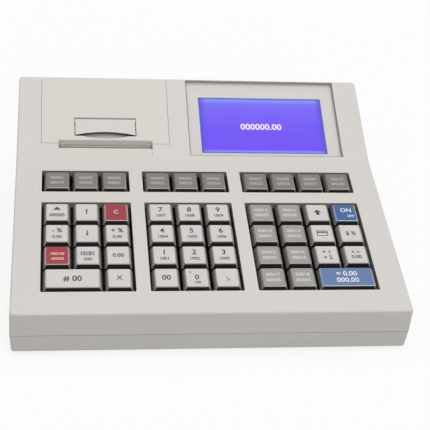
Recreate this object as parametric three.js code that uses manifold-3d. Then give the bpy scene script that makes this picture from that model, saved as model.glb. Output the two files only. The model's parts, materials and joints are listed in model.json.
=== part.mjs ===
// Electronic cash register with a ticket printer under a hinged cover.
// Millimetres, +Z up, +Y towards the back. The origin is the middle of the footprint, on the table.
import * as THREE from 'three';
import { mergeVertices } from 'three/addons/utils/BufferGeometryUtils.js';
import Module from 'manifold-3d';

const wasm = await Module();
wasm.setup();

// Case, sized by what it holds: the key field, the printer bay and the display
const sideMargin = 18.725;
const rearBezel = 14;
const seamHeight = 13.4;
const footHeight = 2.5;
const keyboardSlope = THREE.MathUtils.degToRad(10);
const rearSlope = THREE.MathUtils.degToRad(24.5);
const bendRadius = 95;
const sideDraft = 0.025;
const trayTaper = 0.85;
const wall = 2.5;
const cornerRadius = 2;
const topEdgeRadius = 1.5;
const trayEdgeRadius = 1.2;
const seamGap = 0.4;
const lipHeight = 2.2;
const lipWall = 1.2;
const seatGap = 0.3;
const overrun = 1;

// Feet, screws and posts
const footRadius = 7;
const footInset = 18;
const screwBossRadius = 4;
const screwHoleRadius = 1.3;
const screwHoleDepth = 12;
const screwHeadRadius = 3.4;
const screwHeadDepth = 4;
const screwBossInsetX = 9.5;
const screwBossInsetY = 9;
const screwBossTop = 9;

// Keys
const keyPitch = 18.85;
const keyGap = 0.85;
const keyTopInset = 1.45;
const keyProud = 1;
const keyHeight = 8.5;
const keySkirtHeight = 3.6;
const keyEdgeBevel = 0.35;
const keyCornerChamfer = 0.9;
const keyWall = 1.2;
const keyRoof = 1.6;
const stemWidth = 6;
const stemReach = 15.4;
const keyTravel = 3;

// Key field
const blockGap = 9.925;
const fieldFromFront = 17.6;
const rowGap = 11.1;
const rowToBend = 13.625;
const openingMargin = 0.6;
const openingCorner = 0.8;
const skirtWall = 1.2;
const skirtDepth = 5;

// Switch board
const switchWidth = 14;
const switchClearance = 1.5;
const switchHeight = 7;
const switchTaper = 0.8;
const switchFloor = 0.6;
const stemClearance = 0.3;
const boardThickness = 1.6;
const boardMargin = 2.4;
const boardBossRadius = 2.8;
const boardBossSide = 9.5;

// Printer cover, flush in the rear slope
const coverLeft = 17.5;
const coverFromBend = 12;
const coverGap = 0.3;
const coverWall = 2.5;
const flangeWall = 1.5;
const flangeDepth = 5;
const ledgeDepth = 2;
const ledgeLength = 8;
const ledgeReach = 2;
const hingeFromBack = 5.5;
const hingeBelowTop = 7;
const barrelRadius = 5.5;
const hingePinRadius = 2;
const hingePinReach = 1.6;
const sillGap = 1;
const sillReach = 3;
const sillHeight = 6.5;
const pinClearance = 0.3;

// Paper slot across the cover's front seam
const slotWidth = 64;
const slotIntoCover = 2.6;
const slotIntoCase = 2.7;
const rampLength = 8;
const rampDepth = 1.1;

// Latch plate in the cover
const latchWidth = 41.3;
const latchFromFront = 6.9;
const latchLength = 14.2;
const latchThickness = 1.8;
const latchBelowFace = 0.15;
const latchGap = 0.3;
const latchSideGap = 0.6;
const latchFrontGap = 0.9;
const latchArcRise = 2.6;
const latchPinRadius = 1.2;
const latchPinReach = 1.6;
const latchFingerThickness = 3;
const latchFingerLength = 7;
const latchFingerSpread = 16;
const latchFingerFromAxis = 3.5;
const fingerSlotFront = 10;
const fingerSlotBack = 3;
const pocketDepth = 4.6;
const pocketFloor = 1.5;
const pocketMargin = 2;
const scoopSideRoom = 1.8;
const scoopHalfLength = 6;
const scoopDepth = 1.9;

// Platen roller under the cover's front edge
const platenRadius = 4.5;
const platenLength = 58;
const platenFromFront = 6.1;
const platenBelowFace = 12.1;
const shaftRadius = 2;
const shaftTail = 0.5;
const earWall = 2.5;
const earGap = 1.5;
const earRim = 2.5;
const gearTeeth = 13;
const gearRadius = 4.6;
const gearRootRadius = 3.5;
const gearWidth = 3;
const gearGap = 1;

// Paper roll and the bay's bucket
const rollRadius = 20;
const rollCoreRadius = 6.5;
const rollWidth = 57;
const rollGap = 2;
const rollLean = THREE.MathUtils.degToRad(33);
const rollRoom = 1.5;
const rollEndRoom = 1;
const bayWall = 2;
const bucketFloorGap = 3.5;
const bucketBackRoom = 3.08;
const bucketRimBelowPlaten = 10.5;
const deckBelowFace = 14;
const deckFromBend = 31;

// Print mechanism in front of the bucket
const headLength = 56;
const headHeight = 8.5;
const headThickness = 2.5;
const headBelowShare = 0.4;
const cheekGap = 1.5;
const cheekWall = 1.5;
const cheekRoom = 3.2;
const chassisToPlaten = 25.8;
const chassisDepth = 16.5;
const chassisThickness = 2;
const chassisBelowPlaten = 20.2;
const shelfThickness = 2;
const shelfInset = 0.8;
const cheekAbovePlaten = 0.5;
const cheekReach = 4.5;
const motorRadius = 7.5;
const motorLength = 20;
const motorInset = 1;
const motorBehindFront = 5.8;
const motorBelowPlaten = 10.3;
const gearCaseWidth = 9;
const gearCaseInset = 1.8;
const gearCaseDepth = 11;
const gearCaseBelowPlaten = 2.5;
const bracketBehindFront = 9.8;
const bracketBelowPlaten = 4.5;

// Display
const recessRight = 19;
const recessFromBend = 2.1;
const recessRim = 1.2;
const recessDepth = 3;
const recessFloor = 2;
const recessMargin = 2;
const paneThickness = 1.4;
const lcdWidth = 87.7;
const lcdHeight = 46;
const lcdFromRecessLeft = 9.6;
const lcdToRecessRight = 10.6;
const lcdFromRecessBottom = 5.5;
const lcdToBack = 15;
const apertureMargin = 0.8;
const moduleMargin = 4.5;
const moduleFrontMargin = 2.4;
const moduleThickness = 5;

// Customer display in the rear wall
const customerWidth = 78;
const customerHeight = 18;
const customerFromRight = 60.5;
const customerCentre = 48;
const customerMargin = 3;
const customerThickness = 6;
const customerInset = 0.5;

// Main board and its rear sockets
const mainBoardWidth = 108;
const mainBoardDepth = 84;
const mainBoardRight = 19;
const mainBoardBottom = 12.4;
const postRadius = 3;
const postInset = 6;
const jackWidth = 16;
const jackHeight = 13.6;
const jackDepth = 18;
const jackHoleWidth = 11.8;
const jackHoleHeight = 8;
const jackHoleDepth = 13;
const jackHoleLift = 2.4;
const jackCount = 3;
const jackFromRight = 60;
const powerWidth = 9.4;
const powerRadius = 3.1;
const powerPinRadius = 1;
const powerSpacing = 3.3;
const socketFaceInset = 0.3;
const socketGap = 0.5;
const chipSize = 14;
const chipHeight = 2;
const chipPitch = 24;
const chipCount = 3;
const chipFromFront = 22;
const capacitorRadius = 4;
const capacitorHeight = 9;
const capacitorFromFront = 46;

// Facets
const arcSteps = 8;
const smallArcSteps = 4;
const roundSides = 24;
const smallRoundSides = 12;
const rollSides = 32;

// Names of the keys from left to right, rows from the back to the front.
const topRows = [
  ['item_01', 'item_02', 'item_03'],
  ['item_04', 'item_05', 'item_06'],
  ['item_07', 'item_08', 'item_09', 'item_10'],
];
const mainBlocks = [
  [
    ['paper_feed', 'up', 'clear'],
    ['minus_percent', 'down', 'plus_percent'],
    ['void', 'barcode', 'price'],
    ['lookup', 'multiply'],
  ],
  [
    ['7', '8', '9'],
    ['4', '5', '6'],
    ['1', '2', '3'],
    ['00', '0', 'point'],
  ],
  [
    ['item_11', 'item_12', 'shift', 'on'],
    ['item_13', 'item_14', 'card', 'currency'],
    ['item_15', 'item_16', 'payment', 'subtotal'],
    ['item_17', 'item_18', 'total'],
  ],
];
const doubleKeys = ['lookup', 'total'];

// Key field: three blocks side by side, a single row above four rows
const blockColumnCounts = topRows.map((row) => row.length);
const mainRowCount = mainBlocks[0].length;
const columnCount = blockColumnCounts.reduce((sum, columns) => sum + columns, 0);
const fieldWidth = columnCount * keyPitch + (blockColumnCounts.length - 1) * blockGap;
const mainTop = fieldFromFront + mainRowCount * keyPitch;
const rowBottom = mainTop + rowGap;
const rowTop = rowBottom + keyPitch;

// Printer bay across, outwards from its middle: roller, ears, gear, shaft, cheeks and cover
const earInner = platenLength / 2 + earGap;
const gearInner = earInner + earWall + gearGap;
const shaftEnd = gearInner + gearWidth + shaftTail;
const cheekInner = shaftEnd + cheekGap;
const coverWidth = (cheekInner + cheekWall + cheekRoom) * 2;
const bucketWidth = rollWidth + rollEndRoom * 2;
const recessWidth = lcdFromRecessLeft + lcdWidth + lcdToRecessRight;

// Printer bay and display from the bend to the back
const platenAlong = coverFromBend + platenFromFront;
const platenFromBend = platenAlong * Math.cos(rearSlope) + platenBelowFace * Math.sin(rearSlope);
const platenRise = platenAlong * Math.sin(rearSlope) - platenBelowFace * Math.cos(rearSlope);
const rollDistance = rollRadius + platenRadius + rollGap;
const rollFromBend = platenFromBend + rollDistance * Math.sin(rollLean);
const bucketRadius = rollRadius + rollRoom;
const bayDepth = rollFromBend + bucketRadius + bayWall + bucketBackRoom;
const displayAlong = recessFromBend + lcdFromRecessBottom + lcdHeight + lcdToBack;

// Case outline
const caseWidth = Math.max(
  fieldWidth + sideMargin * 2, coverLeft + coverWidth + rearBezel + recessWidth + recessRight);
const bendFromFront = (rowTop + rowToBend) * Math.cos(keyboardSlope);
const rearDepth = Math.max(bayDepth, displayAlong * Math.cos(rearSlope));
const caseDepth = bendFromFront + rearDepth;
const back = caseDepth / 2;
const front = -back;
const half = caseWidth / 2;
const base = footHeight;
const seam = base + seamHeight;
const rollZ = base + wall + bucketFloorGap + bayWall + seatGap + rollRadius;
const bendTop = rollZ + rollDistance * Math.cos(rollLean) - platenRise;
const frontTop = bendTop - bendFromFront * Math.tan(keyboardSlope);
const backTop = bendTop + rearDepth * Math.tan(rearSlope);

// Frames on the two slopes: local X across, local Y up the slope, local Z out of the face.
const keyFrame = new THREE.Matrix4().makeTranslation(0, front, frontTop)
  .multiply(new THREE.Matrix4().makeRotationX(keyboardSlope));
const rearFrame = new THREE.Matrix4().makeTranslation(0, front + bendFromFront, bendTop)
  .multiply(new THREE.Matrix4().makeRotationX(rearSlope));

// Solids from closed geometries

function solid(geometry, ...matrices) {
  const shape = geometry.clone();
  shape.deleteAttribute('normal');
  shape.deleteAttribute('uv');
  for (const matrix of matrices) shape.applyMatrix4(matrix);
  const merged = mergeVertices(shape);
  return new wasm.Manifold(new wasm.Mesh({
    numProp: 3,
    vertProperties: new Float32Array(merged.attributes.position.array),
    triVerts: new Uint32Array(merged.index.array),
  }));
}

function geometryOf(manifold) {
  const mesh = manifold.getMesh();
  const geometry = new THREE.BufferGeometry();
  geometry.setAttribute('position', new THREE.BufferAttribute(mesh.vertProperties, mesh.numProp));
  geometry.setIndex(new THREE.BufferAttribute(mesh.triVerts, 1));
  return geometry;
}

function join(first, ...others) {
  return others.reduce((sum, other) => sum.add(other), first);
}

function cut(body, ...tools) {
  return tools.reduce((rest, tool) => rest.subtract(tool), body);
}

// A block between two corners, each [x, y, z].
function block(low, high, ...matrices) {
  const size = high.map((value, axis) => value - low[axis]);
  const middle = high.map((value, axis) => (value + low[axis]) / 2);
  const geometry = new THREE.BoxGeometry(...size).translate(...middle);
  return solid(geometry, ...matrices);
}

// A rod along X between two x values.
function rodX(radius, x0, x1, y, z, sides, ...matrices) {
  const geometry = new THREE.CylinderGeometry(radius, radius, x1 - x0, sides);
  geometry.rotateZ(Math.PI / 2).translate((x0 + x1) / 2, y, z);
  return solid(geometry, ...matrices);
}

// An upright rod between two z values.
function rodZ(radius, x, y, z0, z1, sides, ...matrices) {
  const geometry = new THREE.CylinderGeometry(radius, radius, z1 - z0, sides);
  geometry.rotateX(Math.PI / 2).translate(x, y, (z0 + z1) / 2);
  return solid(geometry, ...matrices);
}

// A side outline of [y, z] points, or a Shape in y and z, extruded along X.
const sideways = new THREE.Matrix4().makeBasis(
  new THREE.Vector3(0, 1, 0), new THREE.Vector3(0, 0, 1), new THREE.Vector3(1, 0, 0));

function prismX(outline, x0, x1, ...matrices) {
  const shape = outline instanceof THREE.Shape ? outline
    : new THREE.Shape(outline.map(([y, z]) => new THREE.Vector2(y, z)));
  const geometry = new THREE.ExtrudeGeometry(shape, {
    depth: x1 - x0, bevelEnabled: false, curveSegments: arcSteps });
  geometry.applyMatrix4(sideways).translate(x0, 0, 0);
  return solid(geometry, ...matrices);
}

// A rectangle with round corners, extruded along local Z.
function roundedBlock(x0, x1, y0, y1, z0, z1, radius, ...matrices) {
  const shape = new THREE.Shape();
  shape.absarc(x1 - radius, y1 - radius, radius, 0, Math.PI / 2);
  shape.absarc(x0 + radius, y1 - radius, radius, Math.PI / 2, Math.PI);
  shape.absarc(x0 + radius, y0 + radius, radius, Math.PI, Math.PI * 3 / 2);
  shape.absarc(x1 - radius, y0 + radius, radius, Math.PI * 3 / 2, Math.PI * 2);
  const geometry = new THREE.ExtrudeGeometry(shape, {
    depth: z1 - z0, bevelEnabled: false, curveSegments: smallArcSteps / 2 });
  geometry.translate(0, 0, z0);
  return solid(geometry, ...matrices);
}

// A closed skin over convex rings that all have the same number of points.
function loftGeometry(rings) {
  const count = rings[0].length;
  const positions = rings.flat().flatMap((point) => [point.x, point.y, point.z]);
  const faces = [];
  for (let ring = 0; ring + 1 < rings.length; ring += 1) {
    for (let step = 0; step < count; step += 1) {
      const a = ring * count + step;
      const b = ring * count + (step + 1) % count;
      faces.push(a, b, b + count, a, b + count, a + count);
    }
  }
  const last = (rings.length - 1) * count;
  for (let step = 1; step + 1 < count; step += 1) {
    faces.push(0, step + 1, step, last, last + step, last + step + 1);
  }
  const geometry = new THREE.BufferGeometry();
  geometry.setAttribute('position', new THREE.Float32BufferAttribute(positions, 3));
  geometry.setIndex(signedVolume(positions, faces) > 0 ? faces : faces.reverse());
  return geometry;
}

function signedVolume(positions, faces) {
  const corner = (index) => new THREE.Vector3().fromArray(positions, index * 3);
  let volume = 0;
  for (let face = 0; face < faces.length; face += 3) {
    const [a, b, c] = [0, 1, 2].map((offset) => corner(faces[face + offset]));
    volume += a.dot(b.cross(c));
  }
  return volume;
}

// Case surface

// Height of the outer top face over a place y: two slopes with a hollow bend between them.
function topAt(y) {
  const along = y - front - bendFromFront;
  const reach = bendRadius * Math.tan((rearSlope - keyboardSlope) / 2);
  const start = -reach * Math.cos(keyboardSlope);
  const end = reach * Math.cos(rearSlope);
  if (along <= start) return bendTop + along * Math.tan(keyboardSlope);
  if (along >= end) return bendTop + along * Math.tan(rearSlope);
  const centreY = start - bendRadius * Math.sin(keyboardSlope);
  const centreZ = start * Math.tan(keyboardSlope) + bendRadius * Math.cos(keyboardSlope);
  return bendTop + centreZ - Math.sqrt(bendRadius ** 2 - (along - centreY) ** 2);
}

// How far a round edge falls away at a distance from the face it rounds.
function roundFall(radius, distance) {
  if (distance >= radius) return 0;
  return radius - Math.sqrt(radius ** 2 - (radius - distance) ** 2);
}

// One cross-section of the case at y, inset for the inner face, with its round top corners.
function caseSection(y, inset, bottom) {
  const edge = Math.min(y - front, back - y) - inset;
  const corner = Math.max(cornerRadius - inset, topEdgeRadius);
  const sideInset = inset + roundFall(corner, edge);
  const slope = y - front > bendFromFront ? rearSlope : keyboardSlope;
  const drop = inset / Math.cos(slope) + roundFall(topEdgeRadius, edge);
  const top = topAt(y) - drop;
  const sideAt = (z) => half - sideInset - sideDraft * (z - seam);
  const right = [new THREE.Vector3(sideAt(bottom), y, bottom)];
  for (let step = 0; step <= smallArcSteps; step += 1) {
    const angle = Math.PI / 2 * step / smallArcSteps;
    const z = top - topEdgeRadius * (1 - Math.sin(angle));
    right.push(new THREE.Vector3(sideAt(z) - topEdgeRadius * (1 - Math.cos(angle)), y, z));
  }
  const left = right.map((point) => new THREE.Vector3(-point.x, y, point.z)).reverse();
  return [...right, ...left];
}

// The wedge body of the case, or its inner space when it is inset.
function caseBody(inset, bottom) {
  const corner = Math.max(cornerRadius - inset, topEdgeRadius);
  const edges = [];
  for (let step = 0; step <= smallArcSteps; step += 1) {
    edges.push(inset + corner * (1 - Math.cos(Math.PI / 2 * step / smallArcSteps)));
  }
  const reach = bendRadius * Math.tan((rearSlope - keyboardSlope) / 2);
  const bends = [];
  for (let step = 0; step <= arcSteps; step += 1) {
    const share = step / arcSteps;
    const from = -reach * Math.cos(keyboardSlope);
    const to = reach * Math.cos(rearSlope);
    bends.push(front + bendFromFront + from + (to - from) * share);
  }
  const places = [
    ...edges.map((edge) => front + edge), ...bends, ...edges.map((edge) => back - edge).reverse()];
  return solid(loftGeometry(places.map((y) => caseSection(y, inset, bottom))));
}

// A rectangle ring with round corners at height z, inset from the case's outline at the seam.
function trayRing(inset, z) {
  const radius = Math.max(cornerRadius - inset, topEdgeRadius);
  const centres = [[1, 1, 0], [-1, 1, 1], [-1, -1, 2], [1, -1, 3]];
  const ring = [];
  for (const [sideX, sideY, quarter] of centres) {
    for (let step = 0; step <= smallArcSteps; step += 1) {
      const angle = Math.PI / 2 * (quarter + step / smallArcSteps);
      const x = sideX * (half - inset - radius) + radius * Math.cos(angle);
      const y = sideY * (back - inset - radius) + radius * Math.sin(angle);
      ring.push(new THREE.Vector3(x, y, z));
    }
  }
  return ring;
}

// Keys

const blockLefts = blockColumnCounts.map((columns, index) => -fieldWidth / 2
  + blockColumnCounts.slice(0, index).reduce((sum, count) => sum + count * keyPitch + blockGap, 0));

// Every key with its place on the keyboard slope.
function layKeys() {
  const keys = [];
  const layRow = (row, left, bottom) => {
    let column = 0;
    for (const name of row) {
      const columns = doubleKeys.includes(name) ? 2 : 1;
      const x = left + (column + columns / 2) * keyPitch;
      keys.push({ name: `key_${name}`, columns, x, y: bottom + keyPitch / 2 });
      column += columns;
    }
  };
  topRows.forEach((row, index) => layRow(row, blockLefts[index], rowBottom));
  mainBlocks.forEach((rows, index) => rows.forEach((row, line) => {
    layRow(row, blockLefts[index], fieldFromFront + (mainRowCount - 1 - line) * keyPitch);
  }));
  return keys;
}

const keys = layKeys();

const keyOpenings = blockColumnCounts.flatMap((columns, index) => {
  const left = blockLefts[index];
  const right = left + columns * keyPitch;
  return [[fieldFromFront, mainTop], [rowBottom, rowTop]].map(([low, high]) => [
    left - openingMargin, right + openingMargin, low - openingMargin, high + openingMargin]);
});

// Places of the bosses that carry the switch board, on the keyboard slope.
function boardBosses() {
  const gapCentres = [1, 2].map((index) => blockLefts[index] - blockGap / 2);
  const betweenRows = mainTop + rowGap / 2;
  const lowRow = fieldFromFront + keyPitch;
  const side = fieldWidth / 2 - boardBossSide;
  return [
    ...gapCentres.map((x) => [x, betweenRows]), ...gapCentres.map((x) => [x, lowRow]),
    [-side, betweenRows], [side, betweenRows]];
}

const switchTop = keyHeight - keyProud + keyTravel + switchClearance;
const boardTop = -(switchTop + switchHeight);

// Printer bay places, on the rear slope or in the case's own axes.

const coverX0 = -half + coverLeft;
const coverX1 = coverX0 + coverWidth;
const bayCentre = (coverX0 + coverX1) / 2;
const coverFront = coverFromBend;
const hingeY = back - hingeFromBack;
const hingeZ = backTop - hingeBelowTop;
const sillTop = hingeZ - barrelRadius - sillGap;
const toCase = (y, z) => new THREE.Vector3(0, y, z).applyMatrix4(rearFrame);
const platen = toCase(platenAlong, -platenBelowFace);
const rollY = front + bendFromFront + rollFromBend;
const bucketZ = rollZ + bucketRadius - rollRadius - seatGap;
const bayX0 = coverX0 - coverGap;
const bayX1 = coverX1 + coverGap;
const farBack = rearDepth / Math.cos(rearSlope) + wall;

const recessX1 = half - recessRight;
const recessX0 = recessX1 - recessWidth;
const recessBottom = recessFromBend;
const recessTop = (rearDepth - recessRim) / Math.cos(rearSlope);
const lcdX0 = recessX0 + lcdFromRecessLeft;
const lcdX1 = lcdX0 + lcdWidth;
const lcdY0 = recessBottom + lcdFromRecessBottom;
const lcdY1 = lcdY0 + lcdHeight;

const customerX = half - customerFromRight;
const customerZ = base + customerCentre;

const screwPlaces = [-1, 1].flatMap((sideX) => [
  [sideX * (half - screwBossInsetX), front + screwBossInsetY],
  [sideX * (half - screwBossInsetX), back - screwBossInsetY]]);

// The three sockets side by side, and the power socket, as [left, right] across the rear wall.
const jackX0 = half - jackFromRight - jackCount * jackWidth / 2;
const jackX1 = jackX0 + jackCount * jackWidth;
const socketSpans = [
  [jackX0, jackX1],
  [jackX1 + powerSpacing, jackX1 + powerSpacing + powerWidth],
];
const mainBoardZ = base + mainBoardBottom;
const socketBottom = mainBoardZ + boardThickness;
const socketTop = socketBottom + jackHeight;

// Upper housing

// Side walls and deck of the printer bay with the sill below the cover's barrel.
function baySolids() {
  const deck = -deckBelowFace;
  const bayStart = coverFront - coverGap - bayWall;
  const wallOutline = [
    [bayStart, overrun], [bayStart, deck - bayWall], [farBack, deck - bayWall], [farBack, overrun]];
  const sideWalls = [[bayX0 - bayWall, bayX0], [bayX1, bayX1 + bayWall]]
    .map(([x0, x1]) => prismX(wallOutline, x0, x1, rearFrame));
  const deckPlate = block(
    [bayX0 - bayWall, deckFromBend, deck - bayWall], [bayX1 + bayWall, farBack, deck], rearFrame);
  const sill = block(
    [bayX0 - bayWall, hingeY - sillReach, sillTop - sillHeight], [bayX1 + bayWall, back, sillTop]);
  return join(...sideWalls, deckPlate, sill);
}

// Outline of the bucket: half a circle below the roll, with a low front and a back up to the deck.
function bucketOutline(radius, rimZ) {
  const shape = new THREE.Shape();
  const deckFront = toCase(deckFromBend, -deckBelowFace);
  const deckBack = toCase(farBack, -deckBelowFace);
  shape.moveTo(rollY - radius, rimZ);
  shape.lineTo(rollY - radius, bucketZ);
  shape.absarc(rollY, bucketZ, radius, Math.PI, Math.PI * 2, false);
  const backRise = (rollY + radius - deckFront.y) * Math.tan(rearSlope);
  shape.lineTo(rollY + radius, Math.min(deckFront.z + backRise, deckBack.z));
  shape.lineTo(deckFront.y, deckFront.z);
  shape.lineTo(platen.y + shaftRadius + earRim + seatGap, rimZ);
  return shape;
}

function bucketSolid() {
  const x0 = bayCentre - bucketWidth / 2;
  const x1 = bayCentre + bucketWidth / 2;
  const outline = bucketOutline(bucketRadius + bayWall, platen.z - bucketRimBelowPlaten);
  const shelfBottom = platen.z - chassisBelowPlaten - seatGap - shelfThickness;
  const shelfBack = rollY - bucketRadius;
  const shelf = block(
    [x0 - bayWall, platen.y - chassisToPlaten + shelfInset, shelfBottom],
    [x1 + bayWall, shelfBack, shelfBottom + shelfThickness]);
  return join(prismX(outline, x0 - bayWall, x1 + bayWall), shelf);
}

// The inner space of the bucket, open at the top.
function bucketSpace() {
  const shape = new THREE.Shape();
  const open = backTop + overrun;
  shape.moveTo(rollY - bucketRadius, open);
  shape.lineTo(rollY - bucketRadius, bucketZ);
  shape.absarc(rollY, bucketZ, bucketRadius, Math.PI, Math.PI * 2, false);
  shape.lineTo(rollY + bucketRadius, open);
  return prismX(shape, bayCentre - bucketWidth / 2, bayCentre + bucketWidth / 2);
}

// The space under the cover, down to the decks, with the opening in the top and rear wall.
function baySpace() {
  const start = coverFront - coverGap;
  const opening = block([bayX0, start, -deckBelowFace], [bayX1, farBack, wall * 2], rearFrame);
  const keptSill = block(
    [bayX0 - overrun, hingeY - sillReach, 0], [bayX1 + overrun, back + overrun, sillTop]);
  return cut(opening, keptSill);
}

// The recess of the display with its floor, and the opening behind the display's glass.
function recessSlab() {
  return block(
    [recessX0 - recessMargin, recessBottom - recessMargin, -recessDepth - recessFloor],
    [recessX1 + recessMargin, recessTop, -overrun], rearFrame);
}

function recessCuts() {
  const pocket = block(
    [recessX0, recessBottom, -recessDepth], [recessX1, recessTop, wall * 2], rearFrame);
  const aperture = block(
    [lcdX0 - apertureMargin, lcdY0 - apertureMargin, -recessDepth - recessFloor - overrun],
    [lcdX1 + apertureMargin, lcdY1 + apertureMargin, 0], rearFrame);
  return [pocket, aperture];
}

// The paper slot's half in the case: a straight lip and a shallow ramp in front of it.
function slotCuts() {
  const lip = toCase(coverFront, 0);
  const x0 = bayCentre - slotWidth / 2;
  const x1 = bayCentre + slotWidth / 2;
  const lipY = lip.y - slotIntoCase;
  const throat = block([x0, lipY, lip.z - wall * 3], [x1, lip.y + overrun, lip.z + wall]);
  const rampTop = toCase(coverFront - slotIntoCase - rampLength, overrun);
  const rampLow = toCase(coverFront - slotIntoCase, -rampDepth);
  const rampFar = toCase(coverFront, overrun);
  const rampEdge = toCase(coverFront - slotIntoCase - rampLength, 0);
  const ramp = prismX(
    [[rampTop.y, rampTop.z], [rampEdge.y, rampEdge.z], [rampLow.y, rampLow.z],
      [rampFar.y, rampLow.z], [rampFar.y, rampFar.z]], x0, x1);
  return [throat, ramp];
}

// Notches for the sockets, open at the seam, and the window of the customer display.
function rearCuts() {
  const notches = socketSpans.map(([x0, x1]) => block(
    [x0 - socketGap, back - wall - overrun, seam - overrun],
    [x1 + socketGap, back + overrun, socketTop + socketGap]));
  const window = block(
    [customerX - customerWidth / 2, back - wall - overrun, customerZ - customerHeight / 2],
    [customerX + customerWidth / 2, back + overrun, customerZ + customerHeight / 2]);
  return [...notches, window];
}

function screwBosses() {
  const envelope = caseBody(wall / 2, base);
  return screwPlaces.map(([x, y]) => {
    const bottom = base + screwBossTop + seatGap;
    const boss = rodZ(screwBossRadius, x, y, bottom, backTop, smallRoundSides);
    const hole = rodZ(screwHoleRadius, x, y, bottom - overrun, bottom + screwHoleDepth, smallRoundSides);
    return cut(boss.intersect(envelope), hole);
  });
}

// Small ledges on the bay's side walls that the cover's flanges rest on.
function coverLedges() {
  const top = -flangeDepth - seatGap;
  const y0 = coverFront + earRim;
  return [[bayX0 - overrun, bayX0 + ledgeReach], [bayX1 - ledgeReach, bayX1 + overrun]]
    .map(([x0, x1]) => block([x0, y0, top - ledgeDepth], [x1, y0 + ledgeLength, top], rearFrame));
}

function upperHousing() {
  const outer = caseBody(0, seam);
  const inner = caseBody(wall, seam - overrun);
  const openings = keyOpenings.map(([x0, x1, y0, y1]) => roundedBlock(
    x0, x1, y0, y1, -skirtDepth - overrun, overrun, openingCorner, keyFrame));
  const skirts = keyOpenings.map(([x0, x1, y0, y1]) => block(
    [x0 - skirtWall, y0 - skirtWall, -skirtDepth],
    [x1 + skirtWall, y1 + skirtWall, -wall / 2], keyFrame));
  const bosses = boardBosses().map(([x, y]) => rodZ(
    boardBossRadius, x, y, boardTop + seatGap, -wall / 2, smallRoundSides, keyFrame));
  const envelope = caseBody(0, base);
  const bay = baySolids().intersect(envelope);
  const bucket = bucketSolid().intersect(envelope);
  const slab = recessSlab().intersect(envelope);
  const shell = join(cut(outer, inner), bay, bucket, slab, ...skirts, ...bosses, ...screwBosses());
  const open = cut(shell, baySpace(), bucketSpace(), ...openings, ...recessCuts(), ...slotCuts(),
    ...rearCuts());
  const pinHole = rodX(hingePinRadius + pinClearance, bayX0 - bayWall - overrun,
    bayX1 + bayWall + overrun, hingeY, hingeZ, smallRoundSides);
  return cut(join(open, ...coverLedges()), pinHole);
}

// Lower housing

function lowerHousing() {
  const top = seam - seamGap;
  const taperAt = (z) => trayTaper * (seam - z) / seamHeight;
  const rings = [[0, top]];
  for (let step = 0; step <= smallArcSteps; step += 1) {
    const angle = Math.PI / 2 * step / smallArcSteps;
    const z = base + trayEdgeRadius * (1 - Math.sin(angle));
    rings.push([taperAt(z) + trayEdgeRadius * (1 - Math.cos(angle)), z]);
  }
  const outer = solid(loftGeometry(rings.map(([inset, z]) => trayRing(inset, z))));
  const space = solid(loftGeometry([
    trayRing(wall, top + overrun), trayRing(wall + trayTaper, base + wall)]));
  const lipOuter = wall + seatGap;
  const lip = cut(
    solid(loftGeometry([trayRing(lipOuter, seam + lipHeight), trayRing(lipOuter, base + wall)])),
    solid(loftGeometry([
      trayRing(lipOuter + lipWall, seam + lipHeight + overrun),
      trayRing(lipOuter + lipWall, base + wall / 2)])));
  const lipCuts = socketSpans.map(([x0, x1]) => block(
    [x0 - socketGap, back / 2, top], [x1 + socketGap, back, seam + lipHeight + overrun]));
  const bosses = screwPlaces.map(([x, y]) => rodZ(
    screwBossRadius, x, y, base + wall / 2, base + screwBossTop, smallRoundSides));
  const lipClear = screwPlaces.map(([x, y]) => rodZ(
    screwBossRadius + seatGap, x, y, base + screwBossTop, seam + lipHeight + overrun, smallRoundSides));
  const holes = screwPlaces.flatMap(([x, y]) => [
    rodZ(screwHoleRadius + seatGap, x, y, base - overrun, base + screwBossTop + overrun, smallRoundSides),
    rodZ(screwHeadRadius, x, y, base - overrun, base + screwHeadDepth, smallRoundSides)]);
  const posts = mainBoardPosts().map(([x, y]) => rodZ(
    postRadius, x, y, base + wall / 2, mainBoardZ - seatGap, smallRoundSides));
  const feet = [-1, 1].flatMap((sideX) => [-1, 1].map((sideY) => rodZ(
    footRadius, sideX * (half - footInset), sideY * (back - footInset), 0, base + wall / 2, roundSides)));
  return cut(
    join(cut(outer, space), cut(lip, ...lipCuts, ...lipClear), ...bosses, ...posts, ...feet), ...holes);
}

// Keys

// A ring of eight points: a rectangle with its corners cut off.
function keyRing(halfX, halfY, corner, z) {
  const places = [
    [halfX, halfY - corner], [halfX - corner, halfY], [corner - halfX, halfY], [-halfX, halfY - corner],
    [-halfX, corner - halfY], [corner - halfX, -halfY], [halfX - corner, -halfY], [halfX, corner - halfY]];
  return places.map(([x, y]) => new THREE.Vector3(x, y, z));
}

// A cap with a straight skirt, sloping sides and a bevelled top, hollow below, with its stem.
// Its origin is the middle of its top face.
function keyCap(columns) {
  const halfX = (columns * keyPitch - keyGap) / 2;
  const halfY = (keyPitch - keyGap) / 2;
  const ring = (inset, z) => keyRing(halfX - inset, halfY - inset, keyCornerChamfer, z);
  const outer = solid(loftGeometry([
    ring(0, -keyHeight), ring(0, keySkirtHeight - keyHeight),
    ring(keyTopInset, -keyEdgeBevel), ring(keyTopInset + keyEdgeBevel, 0)]));
  const space = solid(loftGeometry([
    ring(keyWall, -keyHeight - overrun), ring(keyWall + keyTopInset, -keyRoof)]));
  const halfStem = stemWidth / 2;
  const stem = block([-halfStem, -halfStem, -stemReach], [halfStem, halfStem, -keyRoof / 2]);
  return join(cut(outer, space), stem);
}

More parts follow.
